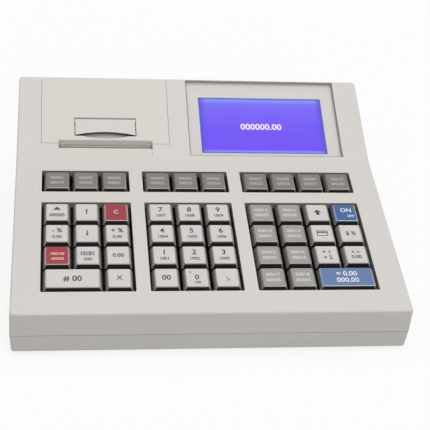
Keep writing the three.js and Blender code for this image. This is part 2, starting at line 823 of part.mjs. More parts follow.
// Switch board: a board with one switch body below each key.
function switchBoard() {
  const side = fieldWidth / 2 + boardMargin;
  let board = block(
    [-side, fieldFromFront - boardMargin, boardTop - boardThickness], [side, rowTop + boardMargin, boardTop]);
  const halfBody = switchWidth / 2;
  const halfHole = stemWidth / 2 + stemClearance;
  for (const key of keys) {
    const place = new THREE.Matrix4().makeTranslation(key.x, key.y, 0);
    const body = loftGeometry([
      keyRing(halfBody, halfBody, switchTaper, boardTop - boardThickness / 2),
      keyRing(halfBody - switchTaper, halfBody - switchTaper, switchTaper, -switchTop)]);
    board = board.add(solid(body, place));
    board = board.subtract(block(
      [-halfHole, -halfHole, boardTop + switchFloor], [halfHole, halfHole, -switchTop + overrun], place));
  }
  return board;
}

// Printer cover

const latchAxisY = coverFront + latchFromFront + latchLength - latchThickness;
const latchAxisZ = -latchBelowFace - latchThickness;
const latchX = latchWidth / 2;

function coverOutline() {
  const shape = new THREE.Shape();
  const start = toCase(coverFront, 0);
  const startTop = toCase(coverFront, wall * 2);
  const startLow = toCase(coverFront, -coverWall);
  const reach = (hingeY - startLow.y) / Math.cos(rearSlope);
  const endLow = toCase(coverFront + reach, -coverWall);
  shape.moveTo(startTop.y, startTop.z);
  shape.lineTo(start.y, start.z);
  shape.lineTo(startLow.y, startLow.z);
  shape.lineTo(endLow.y, endLow.z);
  shape.lineTo(hingeY, hingeZ);
  shape.lineTo(back + overrun, hingeZ);
  shape.lineTo(back + overrun, backTop + wall * 2);
  return shape;
}

function coverEar(x0, x1) {
  const y = platenAlong;
  const rim = shaftRadius + earRim;
  const shape = new THREE.Shape();
  shape.moveTo(y - rim, -coverWall / 2);
  shape.lineTo(y - rim, -platenBelowFace);
  shape.absarc(y, -platenBelowFace, rim, Math.PI, Math.PI * 2, false);
  shape.lineTo(y + rim * 2, -coverWall / 2);
  return prismX(shape, bayCentre + x0, bayCentre + x1, rearFrame);
}

function printerCover() {
  const outer = caseBody(0, seam);
  const barrel = rodX(barrelRadius, coverX0, coverX1, hingeY, hingeZ, roundSides);
  const plate = join(prismX(coverOutline(), coverX0, coverX1), barrel).intersect(outer);
  const pins = rodX(hingePinRadius, coverX0 - coverGap - hingePinReach,
    coverX1 + coverGap + hingePinReach, hingeY, hingeZ, smallRoundSides);
  const flangeEnd = coverFront + (hingeY - toCase(coverFront, 0).y - barrelRadius) / Math.cos(rearSlope);
  const flanges = [[coverX0, coverX0 + flangeWall], [coverX1 - flangeWall, coverX1]]
    .map(([x0, x1]) => block(
      [x0, coverFront + earRim, -flangeDepth], [x1, flangeEnd, -coverWall / 2], rearFrame));
  const ears = [[earInner, earInner + earWall], [-earInner - earWall, -earInner]]
    .map(([x0, x1]) => coverEar(x0, x1));
  const tubX = latchX + latchSideGap + pocketMargin;
  const tub = block(
    [bayCentre - tubX, coverFront + latchFromFront - pocketMargin, -pocketDepth - pocketFloor],
    [bayCentre + tubX, latchAxisY + latchThickness + latchGap + pocketMargin, -coverWall / 2], rearFrame);
  const body = join(plate, pins, ...flanges, ...ears, tub);
  return cut(body, ...coverCuts());
}

// Latch pocket, finger scoop, slots for the release fingers, pin holes and the slot's notch.
function coverCuts() {
  const pocketBack = new THREE.Shape();
  const pocketFront = coverFront + latchFromFront - latchFrontGap;
  const backRadius = latchThickness + latchGap;
  pocketBack.moveTo(pocketFront, wall);
  pocketBack.lineTo(pocketFront, -pocketDepth);
  pocketBack.lineTo(latchAxisY, -pocketDepth);
  pocketBack.absarc(latchAxisY, latchAxisZ, backRadius, -Math.PI / 2, 0, false);
  pocketBack.lineTo(latchAxisY + backRadius, wall);
  const pocketX = latchX + latchSideGap;
  const pocket = prismX(pocketBack, bayCentre - pocketX, bayCentre + pocketX, rearFrame);
  const scoop = new THREE.SphereGeometry(1, roundSides, smallRoundSides)
    .scale(latchX - scoopSideRoom, scoopHalfLength, scoopDepth)
    .translate(bayCentre, coverFront + latchFromFront + latchArcRise, 0);
  const fingerSlots = [-1, 1].map((side) => block(
    [bayCentre + side * latchFingerSpread - latchFingerThickness / 2 - latchSideGap,
      latchAxisY - fingerSlotFront, -pocketDepth - pocketFloor - overrun],
    [bayCentre + side * latchFingerSpread + latchFingerThickness / 2 + latchSideGap,
      latchAxisY - fingerSlotBack, -coverWall], rearFrame));
  const pinHole = rodX(latchPinRadius + pinClearance / 2, bayCentre - pocketX - latchPinReach,
    bayCentre + pocketX + latchPinReach, latchAxisY, latchAxisZ, smallRoundSides, rearFrame);
  const shaftHole = rodX(shaftRadius + pinClearance, bayCentre - shaftEnd, bayCentre + shaftEnd,
    platenAlong, -platenBelowFace, smallRoundSides, rearFrame);
  const edge = toCase(coverFront + slotIntoCover, 0);
  const notch = block(
    [bayCentre - slotWidth / 2, edge.y - slotIntoCover - slotIntoCase, edge.z - coverWall * 2],
    [bayCentre + slotWidth / 2, edge.y, edge.z + wall]);
  return [pocket, solid(scoop, rearFrame), ...fingerSlots, pinHole, shaftHole, notch];
}

// Latch plate: a flat plate with a round back edge, a curved finger edge, pins and two fingers.
function coverLatch() {
  const top = latchAxisZ + latchThickness;
  const shape = new THREE.Shape();
  shape.moveTo(coverFront + latchFromFront, top);
  shape.lineTo(coverFront + latchFromFront, latchAxisZ);
  shape.lineTo(latchAxisY, latchAxisZ - latchThickness / 2);
  shape.absarc(latchAxisY, latchAxisZ, latchThickness, 0, Math.PI / 2, false);
  const plate = prismX(shape, bayCentre - latchX, bayCentre + latchX, rearFrame);
  const arcRadius = (latchX ** 2 + latchArcRise ** 2) / (2 * latchArcRise);
  const arcCentre = coverFront + latchFromFront + latchArcRise - arcRadius;
  const arcTool = rodZ(
    arcRadius, bayCentre, arcCentre, latchAxisZ - latchThickness, top + overrun, roundSides * 8, rearFrame);
  const pins = rodX(latchPinRadius, bayCentre - latchX - latchPinReach,
    bayCentre + latchX + latchPinReach, latchAxisY, latchAxisZ, smallRoundSides, rearFrame);
  const fingers = [-1, 1].map((side) => block(
    [bayCentre + side * latchFingerSpread - latchFingerThickness / 2,
      latchAxisY - latchFingerFromAxis - latchFingerThickness, latchAxisZ - latchFingerLength],
    [bayCentre + side * latchFingerSpread + latchFingerThickness / 2,
      latchAxisY - latchFingerFromAxis, latchAxisZ + latchThickness / 2], rearFrame));
  return join(cut(plate, arcTool), pins, ...fingers);
}

// Platen roller with its shaft and gear, along X through the ears.
function platenRoller() {
  const shaft = rodX(shaftRadius, bayCentre - shaftEnd, bayCentre + shaftEnd,
    platen.y, platen.z, smallRoundSides);
  const rubber = rodX(platenRadius, bayCentre - platenLength / 2, bayCentre + platenLength / 2,
    platen.y, platen.z, roundSides);
  const gearX = bayCentre + gearInner;
  const outline = new THREE.Shape();
  for (let point = 0; point < gearTeeth * 4; point += 1) {
    const radius = point % 4 < 2 ? gearRootRadius : gearRadius;
    const angle = Math.PI * 2 * (point + 0.5) / (gearTeeth * 4);
    const place = [platen.y + radius * Math.cos(angle), platen.z + radius * Math.sin(angle)];
    if (point === 0) outline.moveTo(...place);
    else outline.lineTo(...place);
  }
  return join(shaft, rubber, prismX(outline, gearX, gearX + gearWidth));
}

// Print mechanism: chassis with cheeks, the sprung head against the roller, motor and gear case.
function printMechanism() {
  const x0 = bayCentre - cheekInner - cheekWall;
  const x1 = bayCentre + cheekInner + cheekWall;
  const floorZ = platen.z - chassisBelowPlaten;
  const frontY = platen.y - chassisToPlaten;
  const backY = frontY + chassisDepth;
  const cheekTop = platen.z + cheekAbovePlaten;
  const gearCaseTop = platen.z - gearCaseBelowPlaten;
  const bracketY = frontY + bracketBehindFront;
  const bracketTop = platen.z - bracketBelowPlaten;
  const chassis = block([x0, frontY, floorZ], [x1, backY, floorZ + chassisThickness]);
  const cheekOutline = [
    [frontY, floorZ], [backY + cheekReach, floorZ], [backY + cheekReach, cheekTop],
    [bracketY, cheekTop], [frontY, gearCaseTop]];
  const cheeks = [[x0, x0 + cheekWall], [x1 - cheekWall, x1]]
    .map(([a, b]) => prismX(cheekOutline, a, b));
  const toHinge = new THREE.Vector2(hingeY - platen.y, hingeZ - platen.z).normalize();
  const reach = platenRadius + seatGap;
  const face = new THREE.Vector2(platen.y, platen.z).addScaledVector(toHinge, -reach);
  const rise = new THREE.Vector2(-toHinge.y, toHinge.x);
  const headPoint = (along, out) => {
    const place = face.clone().addScaledVector(rise, along).addScaledVector(toHinge, -out);
    return [place.x, place.y];
  };
  const lower = -headHeight * headBelowShare;
  const upper = headHeight + lower;
  const head = prismX([
    headPoint(lower, 0), headPoint(upper, 0), headPoint(upper, headThickness),
    headPoint(lower, headThickness)], bayCentre - headLength / 2, bayCentre + headLength / 2);
  const bracket = prismX([
    [bracketY, floorZ], [backY, floorZ], [backY, bracketTop - headThickness],
    headPoint(lower, headThickness / 2), headPoint(upper / 2, headThickness / 2),
    [bracketY, bracketTop]],
  bayCentre - headLength / 2, bayCentre + headLength / 2);
  const motorX = bayCentre - cheekInner + motorInset;
  const motor = rodX(motorRadius, motorX, motorX + motorLength,
    frontY + motorBehindFront, platen.z - motorBelowPlaten, roundSides);
  const gearCase = block(
    [x1 - cheekWall - gearCaseWidth, frontY + gearCaseInset, floorZ],
    [x1 - cheekWall / 2, frontY + gearCaseInset + gearCaseDepth, gearCaseTop]);
  return join(chassis, ...cheeks, bracket, head, motor, gearCase);
}

// Paper roll on a hollow core, along X.
function paperRoll() {
  const x0 = bayCentre - rollWidth / 2;
  const x1 = bayCentre + rollWidth / 2;
  return cut(rodX(rollRadius, x0, x1, rollY, rollZ, rollSides),
    rodX(rollCoreRadius, x0 - overrun, x1 + overrun, rollY, rollZ, roundSides));
}

// Displays

function displayWindow() {
  const bottom = -recessDepth + seatGap;
  return block(
    [recessX0 + seatGap, recessBottom + seatGap, bottom],
    [recessX1 - seatGap, recessTop - seatGap, bottom + paneThickness], rearFrame);
}

function lcdModule() {
  const bodyTop = -recessDepth - recessFloor - seatGap;
  const body = block(
    [lcdX0 - moduleMargin, lcdY0 - moduleFrontMargin, bodyTop - moduleThickness],
    [lcdX1 + moduleMargin, lcdY1 + moduleFrontMargin, bodyTop], rearFrame);
  const glass = block(
    [lcdX0 - seatGap, lcdY0 - seatGap, bodyTop - overrun],
    [lcdX1 + seatGap, lcdY1 + seatGap, -recessDepth - seatGap], rearFrame);
  return join(body, glass);
}

function customerDisplay() {
  const innerFace = back - wall - seatGap;
  const bodyX = customerWidth / 2 + customerMargin;
  const bodyZ = customerHeight / 2 + customerMargin;
  const lensX = customerWidth / 2 - seatGap;
  const lensZ = customerHeight / 2 - seatGap;
  const body = block(
    [customerX - bodyX, innerFace - customerThickness, customerZ - bodyZ],
    [customerX + bodyX, innerFace, customerZ + bodyZ]);
  const lens = block(
    [customerX - lensX, innerFace - overrun, customerZ - lensZ],
    [customerX + lensX, back - customerInset, customerZ + lensZ]);
  return join(body, lens);
}

// Main board

const mainBoardX1 = half - mainBoardRight;
const mainBoardX0 = mainBoardX1 - mainBoardWidth;
const mainBoardY1 = back - wall - lipWall - seatGap * 2;
const mainBoardY0 = mainBoardY1 - mainBoardDepth;

function mainBoardPosts() {
  return [mainBoardX0 + postInset, mainBoardX1 - postInset].flatMap((x) => [
    [x, mainBoardY0 + postInset], [x, mainBoardY1 - jackDepth - postInset]]);
}

function mainBoard() {
  const face = back - socketFaceInset;
  const boardPlate = block(
    [mainBoardX0, mainBoardY0, mainBoardZ], [mainBoardX1, mainBoardY1, socketBottom]);
  const sunk = socketBottom - boardThickness / 2;
  const shells = socketSpans.map(([x0, x1]) => block([x0, face - jackDepth, sunk], [x1, face, socketTop]));
  const holes = [];
  for (let index = 0; index < jackCount; index += 1) {
    const x = jackX0 + (index + 0.5) * jackWidth;
    holes.push(block(
      [x - jackHoleWidth / 2, face - jackHoleDepth, socketBottom + jackHoleLift],
      [x + jackHoleWidth / 2, face + overrun, socketBottom + jackHoleLift + jackHoleHeight]));
  }
  const powerX = jackX1 + powerSpacing + powerWidth / 2;
  const powerZ = (socketBottom + socketTop) / 2;
  const toY = new THREE.Matrix4().makeTranslation(powerX, face, powerZ)
    .multiply(new THREE.Matrix4().makeRotationX(Math.PI / 2));
  const powerHole = rodZ(powerRadius, 0, 0, -overrun, jackHoleDepth, smallRoundSides, toY);
  const powerPin = rodZ(powerPinRadius, 0, 0, overrun, jackHoleDepth + overrun, smallRoundSides, toY);
  const parts = [];
  for (let index = 0; index < chipCount; index += 1) {
    const x = mainBoardX0 + chipPitch * (index + 1);
    const y = mainBoardY0 + chipFromFront;
    parts.push(block(
      [x - chipSize / 2, y - chipSize / 2, sunk], [x + chipSize / 2, y + chipSize / 2, socketBottom + chipHeight]));
    parts.push(rodZ(capacitorRadius, x, mainBoardY0 + capacitorFromFront,
      sunk, socketBottom + capacitorHeight, smallRoundSides));
  }
  return join(cut(join(boardPlate, ...shells), ...holes, powerHole), powerPin, ...parts);
}

// Assembly

function piece(name, shape, color, roughness, metalness = 0) {
  const material = new THREE.MeshStandardMaterial({ color, roughness, metalness, flatShading: true });
  const mesh = new THREE.Mesh(shape.isBufferGeometry ? shape : geometryOf(shape), material);
  mesh.name = name;
  return mesh;
}

const caseColor = 0xd7d4d0;
const capColors = {
  item: 0x8c8883, clear: 0xb03c48, void: 0xb03c48, on: 0x3a68a5, total: 0x5f82b4, other: 0xdcdad8,
};

function capColor(name) {
  const kind = name.replace('key_', '').split('_')[0];
  return capColors[kind] ?? capColors.other;
}

const register = new THREE.Group();
register.name = 'cash_register';

const keyboard = new THREE.Group();
keyboard.applyMatrix4(keyFrame);
const capShapes = new Map([1, 2].map((columns) => [columns, geometryOf(keyCap(columns))]));
for (const key of keys) {
  const cap = piece(key.name, capShapes.get(key.columns), capColor(key.name), 0.4);
  cap.position.set(key.x, key.y, keyProud);
  keyboard.add(cap);
}
keyboard.add(piece('key_switch_board', switchBoard(), 0x2f6b45, 0.6));

register.add(
  keyboard,
  piece('upper_housing', upperHousing(), caseColor, 0.55),
  piece('lower_housing', lowerHousing(), 0xaeaba7, 0.55),
  piece('printer_cover', printerCover(), caseColor, 0.55),
  piece('cover_latch', coverLatch(), caseColor, 0.5),
  piece('platen_roller', platenRoller(), 0x2b2b2d, 0.8),
  piece('print_mechanism', printMechanism(), 0x8d9093, 0.4, 0.8),
  piece('paper_roll', paperRoll(), 0xf2f0ea, 0.9),
  piece('display_window', displayWindow(), 0xe8e8ec, 0.1),
  piece('lcd_module', lcdModule(), 0x6a58e8, 0.2),
  piece('customer_display', customerDisplay(), 0x1d2024, 0.2),
  piece('main_board', mainBoard(), 0x2f6b45, 0.6),
);

export default register;
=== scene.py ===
"""Looks of the cash register: camera, light, materials, key labels, legends and small fittings."""

import json
import math

import bmesh
import bpy
from mathutils import Matrix, Vector


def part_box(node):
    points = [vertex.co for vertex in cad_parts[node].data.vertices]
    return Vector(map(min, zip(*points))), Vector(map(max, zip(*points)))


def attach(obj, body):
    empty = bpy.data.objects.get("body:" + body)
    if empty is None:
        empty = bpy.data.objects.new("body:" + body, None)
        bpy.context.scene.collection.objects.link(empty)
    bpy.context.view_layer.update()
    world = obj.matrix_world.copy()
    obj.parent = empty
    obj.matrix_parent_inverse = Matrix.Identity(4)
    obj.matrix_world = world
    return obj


MM = 0.001
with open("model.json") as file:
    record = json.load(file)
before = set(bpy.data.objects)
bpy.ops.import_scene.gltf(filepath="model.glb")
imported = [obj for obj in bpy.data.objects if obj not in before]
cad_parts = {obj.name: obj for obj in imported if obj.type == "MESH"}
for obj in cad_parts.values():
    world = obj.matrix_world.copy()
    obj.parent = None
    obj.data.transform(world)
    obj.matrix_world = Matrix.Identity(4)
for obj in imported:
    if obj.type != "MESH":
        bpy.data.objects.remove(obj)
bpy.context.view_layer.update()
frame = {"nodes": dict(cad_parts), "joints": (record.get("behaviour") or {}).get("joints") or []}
nodes = frame["nodes"]

# Camera, in millimetres and degrees; its clip distances are in metres
CAMERA_PLACE = (-95.09, -588.92, 449.60)
CAMERA_PITCH = 34.83
CAMERA_YAW = 9.07
CAMERA_ROLL = 5.32
CAMERA_LENS = 90.62
CAMERA_SENSOR = 36
CAMERA_SHIFT = 0.04
CAMERA_CLIP = (0.01, 20)

# Light: each lamp has a strength, the side it comes from and a width in degrees; the floor is in metres
WORLD_LEVEL = 0.42
LAMPS = {
    "overhead_softbox": (1.18, (0.05, -0.07, 1), 70),
    "front_softbox": (0.71, (0.1, -0.76, 0.64), 60),
}
FLOOR_SIZE = 12
FLOOR_GLOW = 0.82
FLOOR_SEEN = (0.17, 0.17, 0.17, 1)
FLOOR_BOUNCE = (0.42, 0.42, 0.42, 1)

# Slopes of the case, as the model has them
KEY_SLOPE = math.radians(10)
REAR_SLOPE = math.radians(24.5)
REAR_PLACE = (0, 36.0, 56.529)

# Ends of the painted shade on the key caps' sides, which darken towards their feet, as heights from their
# tops in millimetres
CAP_PAINTED_SHADE = (-5.0, -0.4)

# Key labels and legends, in millimetres; the last two are shares of the font's size
LABEL_MARGIN_LOW = (0.55, 0.08)
LABEL_MARGIN_HIGH = (0.6, 0.12)
LABEL_THICKNESS = 0.12
LABEL_CORNER = 0.7
LABEL_CORNER_STEPS = 4
LEGEND_THICKNESS = 0.05
LEGEND_SUNK = 0.01
FONT_CAP_HEIGHT = 0.7
BOLD = 0.022

# Ticket paper: its path from the roll past the print head to the cover's edge, as (y, z) in millimetres
PAPER_PATH = ((52.88, 37.24), (54.3, 42.4), (55.75, 47.45), (53.68, 50.35), (50.75, 54.52),
              (49.55, 57.3), (48.71, 60.23))
PAPER_WIDTH = 56.6
PAPER_THICKNESS = 0.1
PAPER_TOOTH = 0.15
PAPER_COLUMNS = 56

# Guide in front of the ticket: outline as (x from the middle, z), and depth in y, in millimetres
GUIDE_OUTLINE = ((-31.6, 54.5), (31.6, 54.5), (31.6, 60.5), (27.9, 60.5), (27.9, 58.4), (-27.9, 58.4),
                 (-27.9, 60.5), (-31.6, 60.5))
GUIDE_DEPTH = (47.7, 48.15)

# Felt in the cover's side seams, grey as painted shade for the seams, in millimetres: on the slope as (along,
# depth), at the hinge as (y, z)
FELT_ON_SLOPE = ((12.8, -2.3), (12.8, -0.6), (66.0, -0.6))
FELT_AT_HINGE = ((97.6, 82.6), (97.6, 78.3), (95.5, 74.6), (92.5, 73.6), (89.5, 74.8), (86.0, 76.4))
FELT_FROM_PIN = 1.9
FELT_GAPS = (0.02, 0.24)

# Finger scoop in millimetres: ends of its painted shade and of its plastic from the latch's front, and its
# depths
SCOOP_REACH = 3.6
SCOOP_BACK = 2.4
SCOOP_END = 12
SCOOP_DEPTHS = (-2.2, -0.02)

# Display, in millimetres; the amount's level is a share of the screen's height
# The pane's seal is grey to stand in for the shade in the gap round the pane; the screen's mask is blue to
# stand in for the screen's glow at its edge
PANE_SEAL_REACH = 0.24
PANE_SEAL_WIDTH = 0.6
PANE_SEAL_FRONT = 1.35
PANE_SEAL_HEIGHT = 0.15
MASK_REACH = 0.46
MASK_HEIGHT = 0.2
MASK_GAP = 0.02
STRIP_GAP = 0.004
STRIP_HEIGHT = 0.22
AMOUNT_HEIGHT = 4.9
AMOUNT_LEVEL = 0.48
AMOUNT_BOLD = 0.02
DOT_PITCH = 0.55
GLASS_LAYER = 0.05

# Base screws, in millimetres; the profile has shares of the radius and depths
SCREW_RADIUS = 3
SCREW_SIDES = 24
SCREW_DOME = 1.1
SCREW_PROFILE = ((0.45, -0.94 * SCREW_DOME), (0.8, -0.7 * SCREW_DOME), (1, -0.3), (1, 0))
SCREW_SLOT = (3.2, 0.7, 0.8)
SCREW_SEAT = 6.4
SCREW_INSET = (9.5, 9)

# Socket contacts, in millimetres: the outline of one from the side is (y from the board's rear edge, z)
BOARD_WIDTH = 108
FIRST_SOCKET = 51
SOCKET_COUNT = 3
SOCKET_PITCH = 16
CONTACT_COUNT = 8
CONTACT_PITCH = 1.02
CONTACT_WIDTH = 0.45
CONTACT_OUTLINE = ((-4.0, 26.85), (-4.0, 26.4), (-9.0, 24.2), (-12.9, 23.0), (-12.9, 23.5), (-9.1, 24.65))

# Where one CAD node changes its material: parts of a face's normal, then lengths in millimetres
# Some of these mark where painted shade goes: the walls of the key openings, the finger scoop and the latch's
# front edge
WALL_FACING = 0.5
SCOOP_FACING = 0.2
LATCH_EDGE_FACING = -0.6
KEY_TOP_LAYER = 0.01
OPENING_DEPTH = 1.05
LATCH_EDGE_DEPTH = 1.7
FOOT_HEIGHT = 2.45
RUBBER_REACH = 29.05
SHAFT_REACH = 2.2
MECHANISM_SIDE = 1.6
GEARS_WIDTH = 12
MOTOR_WIDTH = 25
MOTOR_DEPTH = 14
MOTOR_FOOT = 2.2
BOARD_LAYER = 1.65
SOCKETS_DEPTH = 18.2
LOW_PARTS_HEIGHT = 5
ROLL_CORE_EDGE = (8.2, 7.8)
ROLL_RING_RATE = 9000.0


def srgb(red, green, blue):
    """A colour given as 0-255 display values, as the linear values that nodes use."""
    def linear(value):
        value /= 255
        return value / 12.92 if value <= 0.04045 else ((value + 0.055) / 1.055) ** 2.4
    return (linear(red), linear(green), linear(blue), 1.0)


def scaled(color, factor):
    return tuple(min(c * factor, 1) for c in color[:3]) + (1,)


def between(a, b, share):
    return tuple(x + (y - x) * share for x, y in zip(a, b))


# Frames on the slopes

key_axis = next(Vector(j["axis"]) for j in frame["joints"] if j["type"] == "slide")
key_up = -key_axis
key_along = key_up.cross(Vector((1, 0, 0)))
key_turn = Matrix((Vector((1, 0, 0)), key_along, key_up)).transposed().to_4x4()
rear_place = tuple(Vector(REAR_PLACE) * MM)
rear_frame = Matrix.Translation(rear_place) @ Matrix.Rotation(REAR_SLOPE, 4, "X")


def extent(name, turn):
    """Lowest and highest corners of a CAD node in a turned frame."""
    back = turn.inverted()
    points = [back @ v.co for v in nodes[name].data.vertices]
    low = Vector([min(p[axis] for p in points) for axis in range(3)])
    high = Vector([max(p[axis] for p in points) for axis in range(3)])
    return low, high


key_top_place = tuple(key_turn @ Vector((0, 0, extent("key_7", key_turn)[1].z)))


# Shader helpers

class Shader:
    """A node material with short calls for its nodes."""

    def __init__(self, name):
        self.material = bpy.data.materials.new(name)
        self.material.use_nodes = True
        self.tree = self.material.node_tree
        self.bsdf = self.tree.nodes["Principled BSDF"]

    def add(self, kind, inputs=None, **settings):
        node = self.tree.nodes.new("ShaderNode" + kind)
        for key, value in settings.items():
            setattr(node, key, value)
        for socket, value in (inputs or {}).items():
            self.put(node, socket, value)
        return node

    def put(self, node, socket, value):
        if isinstance(value, bpy.types.NodeSocket):
            self.tree.links.new(value, node.inputs[socket])
        else:
            node.inputs[socket].default_value = value

    def set(self, **values):
        for socket, value in values.items():
            self.put(self.bsdf, socket.replace("_", " "), value)

    def coords(self, place=None, turn=None):
        """Object coordinates in metres, seen from a frame with that place and turn."""
        output = self.add("TexCoord").outputs["Object"]
        if place is None:
            return output
        mapping = self.add("Mapping", {"Vector": output, "Location": place, "Rotation": turn},
                           vector_type="TEXTURE")
        return mapping.outputs[0]

    def normal(self, turn):
        output = self.add("TexCoord").outputs["Normal"]
        mapping = self.add("Mapping", {"Vector": output, "Rotation": turn}, vector_type="TEXTURE")
        return mapping.outputs[0]

    def split(self, vector):
        return self.add("SeparateXYZ", {0: vector}).outputs

    def math(self, operation, a, b=0.0):
        return self.add("Math", {0: a, 1: b}, operation=operation).outputs[0]

    def ramp_between(self, value, low, high):
        node = self.add("MapRange", {"Value": value, "From Min": low, "From Max": high})
        return node.outputs["Result"]

    def mix(self, factor, a, b):
        return self.add("Mix", {0: factor, 6: a, 7: b}, data_type="RGBA").outputs[2]

    def noise(self, vector, scale, detail=2.0, roughness=0.5):
        node = self.add("TexNoise", {"Vector": vector, "Scale": scale, "Detail": detail,
                                     "Roughness": roughness})
        return node.outputs["Fac"]

    def ramp(self, value, stops):
        node = self.add("ValToRGB", {0: value})
        elements = node.color_ramp.elements
        for element, (place, color) in zip(elements, stops[:2]):
            element.position, element.color = place, color
        for place, color in stops[2:]:
            elements.new(place).color = color
        return node.outputs[0]

    def bump(self, height, strength, distance):
        node = self.add("Bump", {"Height": height, "Strength": strength, "Distance": distance * MM})
        self.put(self.bsdf, "Normal", node.outputs[0])

    def tint(self, color, vector, scale, amount):
        """The colour with slow, faint changes of tone."""
        tone = self.ramp_between(self.noise(vector, scale, 3.0), 0.3, 0.7)
        return self.mix(tone, scaled(color, 1 - amount), scaled(color, 1 + amount))


def moulded(name, color, grain=2600, roughness=0.5):
    """Moulded plastic: fine spark-eroded grain, a slow change of tone and uneven gloss."""
    s = Shader(name)
    place = s.coords()
    base = s.tint(color, place, 9, 0.02)
    speckle = s.ramp_between(s.noise(place, grain * 0.35, 2.0), 0.35, 0.75)
    base = s.mix(s.math("MULTIPLY", speckle, 0.35), base, scaled(color, 0.97))
    gloss = s.ramp_between(s.noise(place, 60, 2.0), 0.2, 0.8)
    spread = s.math("ADD", s.math("MULTIPLY", gloss, 0.08), roughness - 0.04)
    s.set(Base_Color=base, Roughness=spread, Specular_IOR_Level=0.35)
    s.bump(s.noise(place, grain, 3.0, 0.6), 0.25, 0.03)
    return s.material


def key_plastic(name, side_color, bevel_painted_highlight, bevel_painted_shade, top_color):
    """Clear-sided key with painted light: a painted highlight on the bevel at the right and front and painted
    shade on its other sides, grey sides with painted shade darkening to the foot, and a front painted near
    black as shade.
    """
    s = Shader(name)
    turn = (KEY_SLOPE, 0, 0)
    w = s.split(s.coords(key_top_place, turn))[2]
    facing = s.split(s.normal(turn))
    grain = s.noise(s.coords(), 1400, 2.0)
    streak = s.noise(s.coords(), 330, 2.0)
    # Painted shade: the sides are lighter at the top and darken down to their feet, with a darker band part
    # way down
    height = s.ramp_between(w, CAP_PAINTED_SHADE[0] * MM, CAP_PAINTED_SHADE[1] * MM)
    side = s.ramp(height, [(0.0, srgb(24, 21, 20)), (1.0, side_color), (0.3, srgb(34, 31, 30)),
                           (0.42, side_color), (0.62, scaled(side_color, 0.4)), (0.8, side_color)])
    side = s.mix(s.math("MULTIPLY", streak, 0.3), side, srgb(62, 58, 56))
    # Painted shade: faces turned to the front are painted near black
    front = s.ramp_between(s.math("MULTIPLY", facing[1], -1.0), 0.8, 0.9)
    body = s.mix(front, side, srgb(36, 32, 29))
    bevel = s.ramp_between(facing[2], 0.45, 0.6)
    # Painted highlight on the bevel's right and front sides, painted shade on its other sides
    lit = s.ramp_between(s.math("SUBTRACT", facing[0], facing[1]), 0.05, 0.35)
    body = s.mix(bevel, body, s.mix(lit, bevel_painted_shade, bevel_painted_highlight))
    top = s.ramp_between(facing[2], 0.93, 0.97)
    body = s.mix(top, body, top_color)
    s.set(Base_Color=body, Roughness=0.28, Specular_IOR_Level=0.5, Coat_Weight=0.25,
          Coat_Roughness=0.12)
    s.bump(grain, 0.12, 0.02)
    return s.material


def scoop_painted_shade(name, color, painted_shade_color, front, back):
    """Plastic of the finger scoop with painted shade, darker towards its end under the latch."""
    s = Shader(name)
    along = s.split(s.coords(rear_place, (REAR_SLOPE, 0, 0)))[1]
    shade = s.ramp(s.ramp_between(along, front, back), [
        (0.0, color), (1.0, painted_shade_color), (0.3, color), (0.6, between(painted_shade_color, color, 0.45)),
        (0.78, painted_shade_color)])
    speckle = s.noise(s.coords(), 900, 2.0)
    s.set(Base_Color=s.mix(s.math("MULTIPLY", speckle, 0.08), shade, painted_shade_color), Roughness=0.55,
          Specular_IOR_Level=0.3)
    s.bump(s.noise(s.coords(), 2600, 3.0, 0.6), 0.25, 0.03)
    return s.material


def printed_card(name, color, roughness=0.42, coat=0.3):
    """Card or paper with fine fibres; the key labels have the gloss of the clear cap over them."""
    s = Shader(name)
    place = s.coords()
    base = s.tint(color, place, 70, 0.025)
    fibre = s.ramp_between(s.noise(place, 1900, 4.0, 0.7), 0.4, 0.8)
    base = s.mix(s.math("MULTIPLY", fibre, 0.25), base, scaled(color, 0.93))
    s.set(Base_Color=base, Roughness=roughness, Specular_IOR_Level=0.4, Coat_Weight=coat,
          Coat_Roughness=0.18)
    s.bump(s.noise(place, 700, 2.0), 0.08, 0.02)
    return s.material


def ink(name, color):
    s = Shader(name)
    place = s.coords()
    s.set(Base_Color=s.tint(color, place, 900, 0.08), Roughness=0.5, Specular_IOR_Level=0.3)
    s.bump(s.noise(place, 2400, 2.0), 0.1, 0.01)
    return s.material


def metal(name, color, roughness=0.32, brushing=(30, 2600, 2600)):
    """Plated sheet with fine brushing along X."""
    s = Shader(name)
    stretched = s.add("Mapping", {"Vector": s.coords(), "Scale": brushing}, vector_type="POINT")
    lines = s.noise(stretched.outputs[0], 1, 3.0, 0.6)
    s.set(Base_Color=s.tint(color, s.coords(), 60, 0.06), Metallic=1.0,
          Roughness=s.math("ADD", s.math("MULTIPLY", lines, 0.2), roughness - 0.1))
    s.bump(lines, 0.15, 0.02)
    return s.material


def rubber(name, color):
    s = Shader(name)
    place = s.coords()
    ground = s.noise(place, 3200, 4.0, 0.7)
    s.set(Base_Color=s.tint(color, place, 500, 0.12), Roughness=0.78, Specular_IOR_Level=0.25)
    s.bump(ground, 0.35, 0.04)
    return s.material


def circuit_board(name, mask_color, track_color):
    """Solder mask over tracks, with plated holes."""
    s = Shader(name)
    place = s.coords()
    bricks = s.add("TexBrick", {"Vector": place, "Scale": 160, "Mortar Size": 0.03, "Mortar": (1, 1, 1, 1),
                                "Color1": (0, 0, 0, 1), "Color2": (0, 0, 0, 1)})
    tracks = bricks.outputs[0]
    holes = s.add("TexVoronoi", {"Vector": place, "Scale": 240}, distance="EUCLIDEAN")
    pad = s.ramp_between(holes.outputs["Distance"], 0.16, 0.12)
    mask = s.tint(mask_color, place, 40, 0.1)
    color = s.mix(s.math("MULTIPLY", tracks, 0.6), mask, track_color)
    color = s.mix(pad, color, srgb(196, 176, 112))
    s.set(Base_Color=color, Metallic=pad, Roughness=0.38)
    s.bump(s.math("ADD", tracks, pad), 0.3, 0.03)
    return s.material


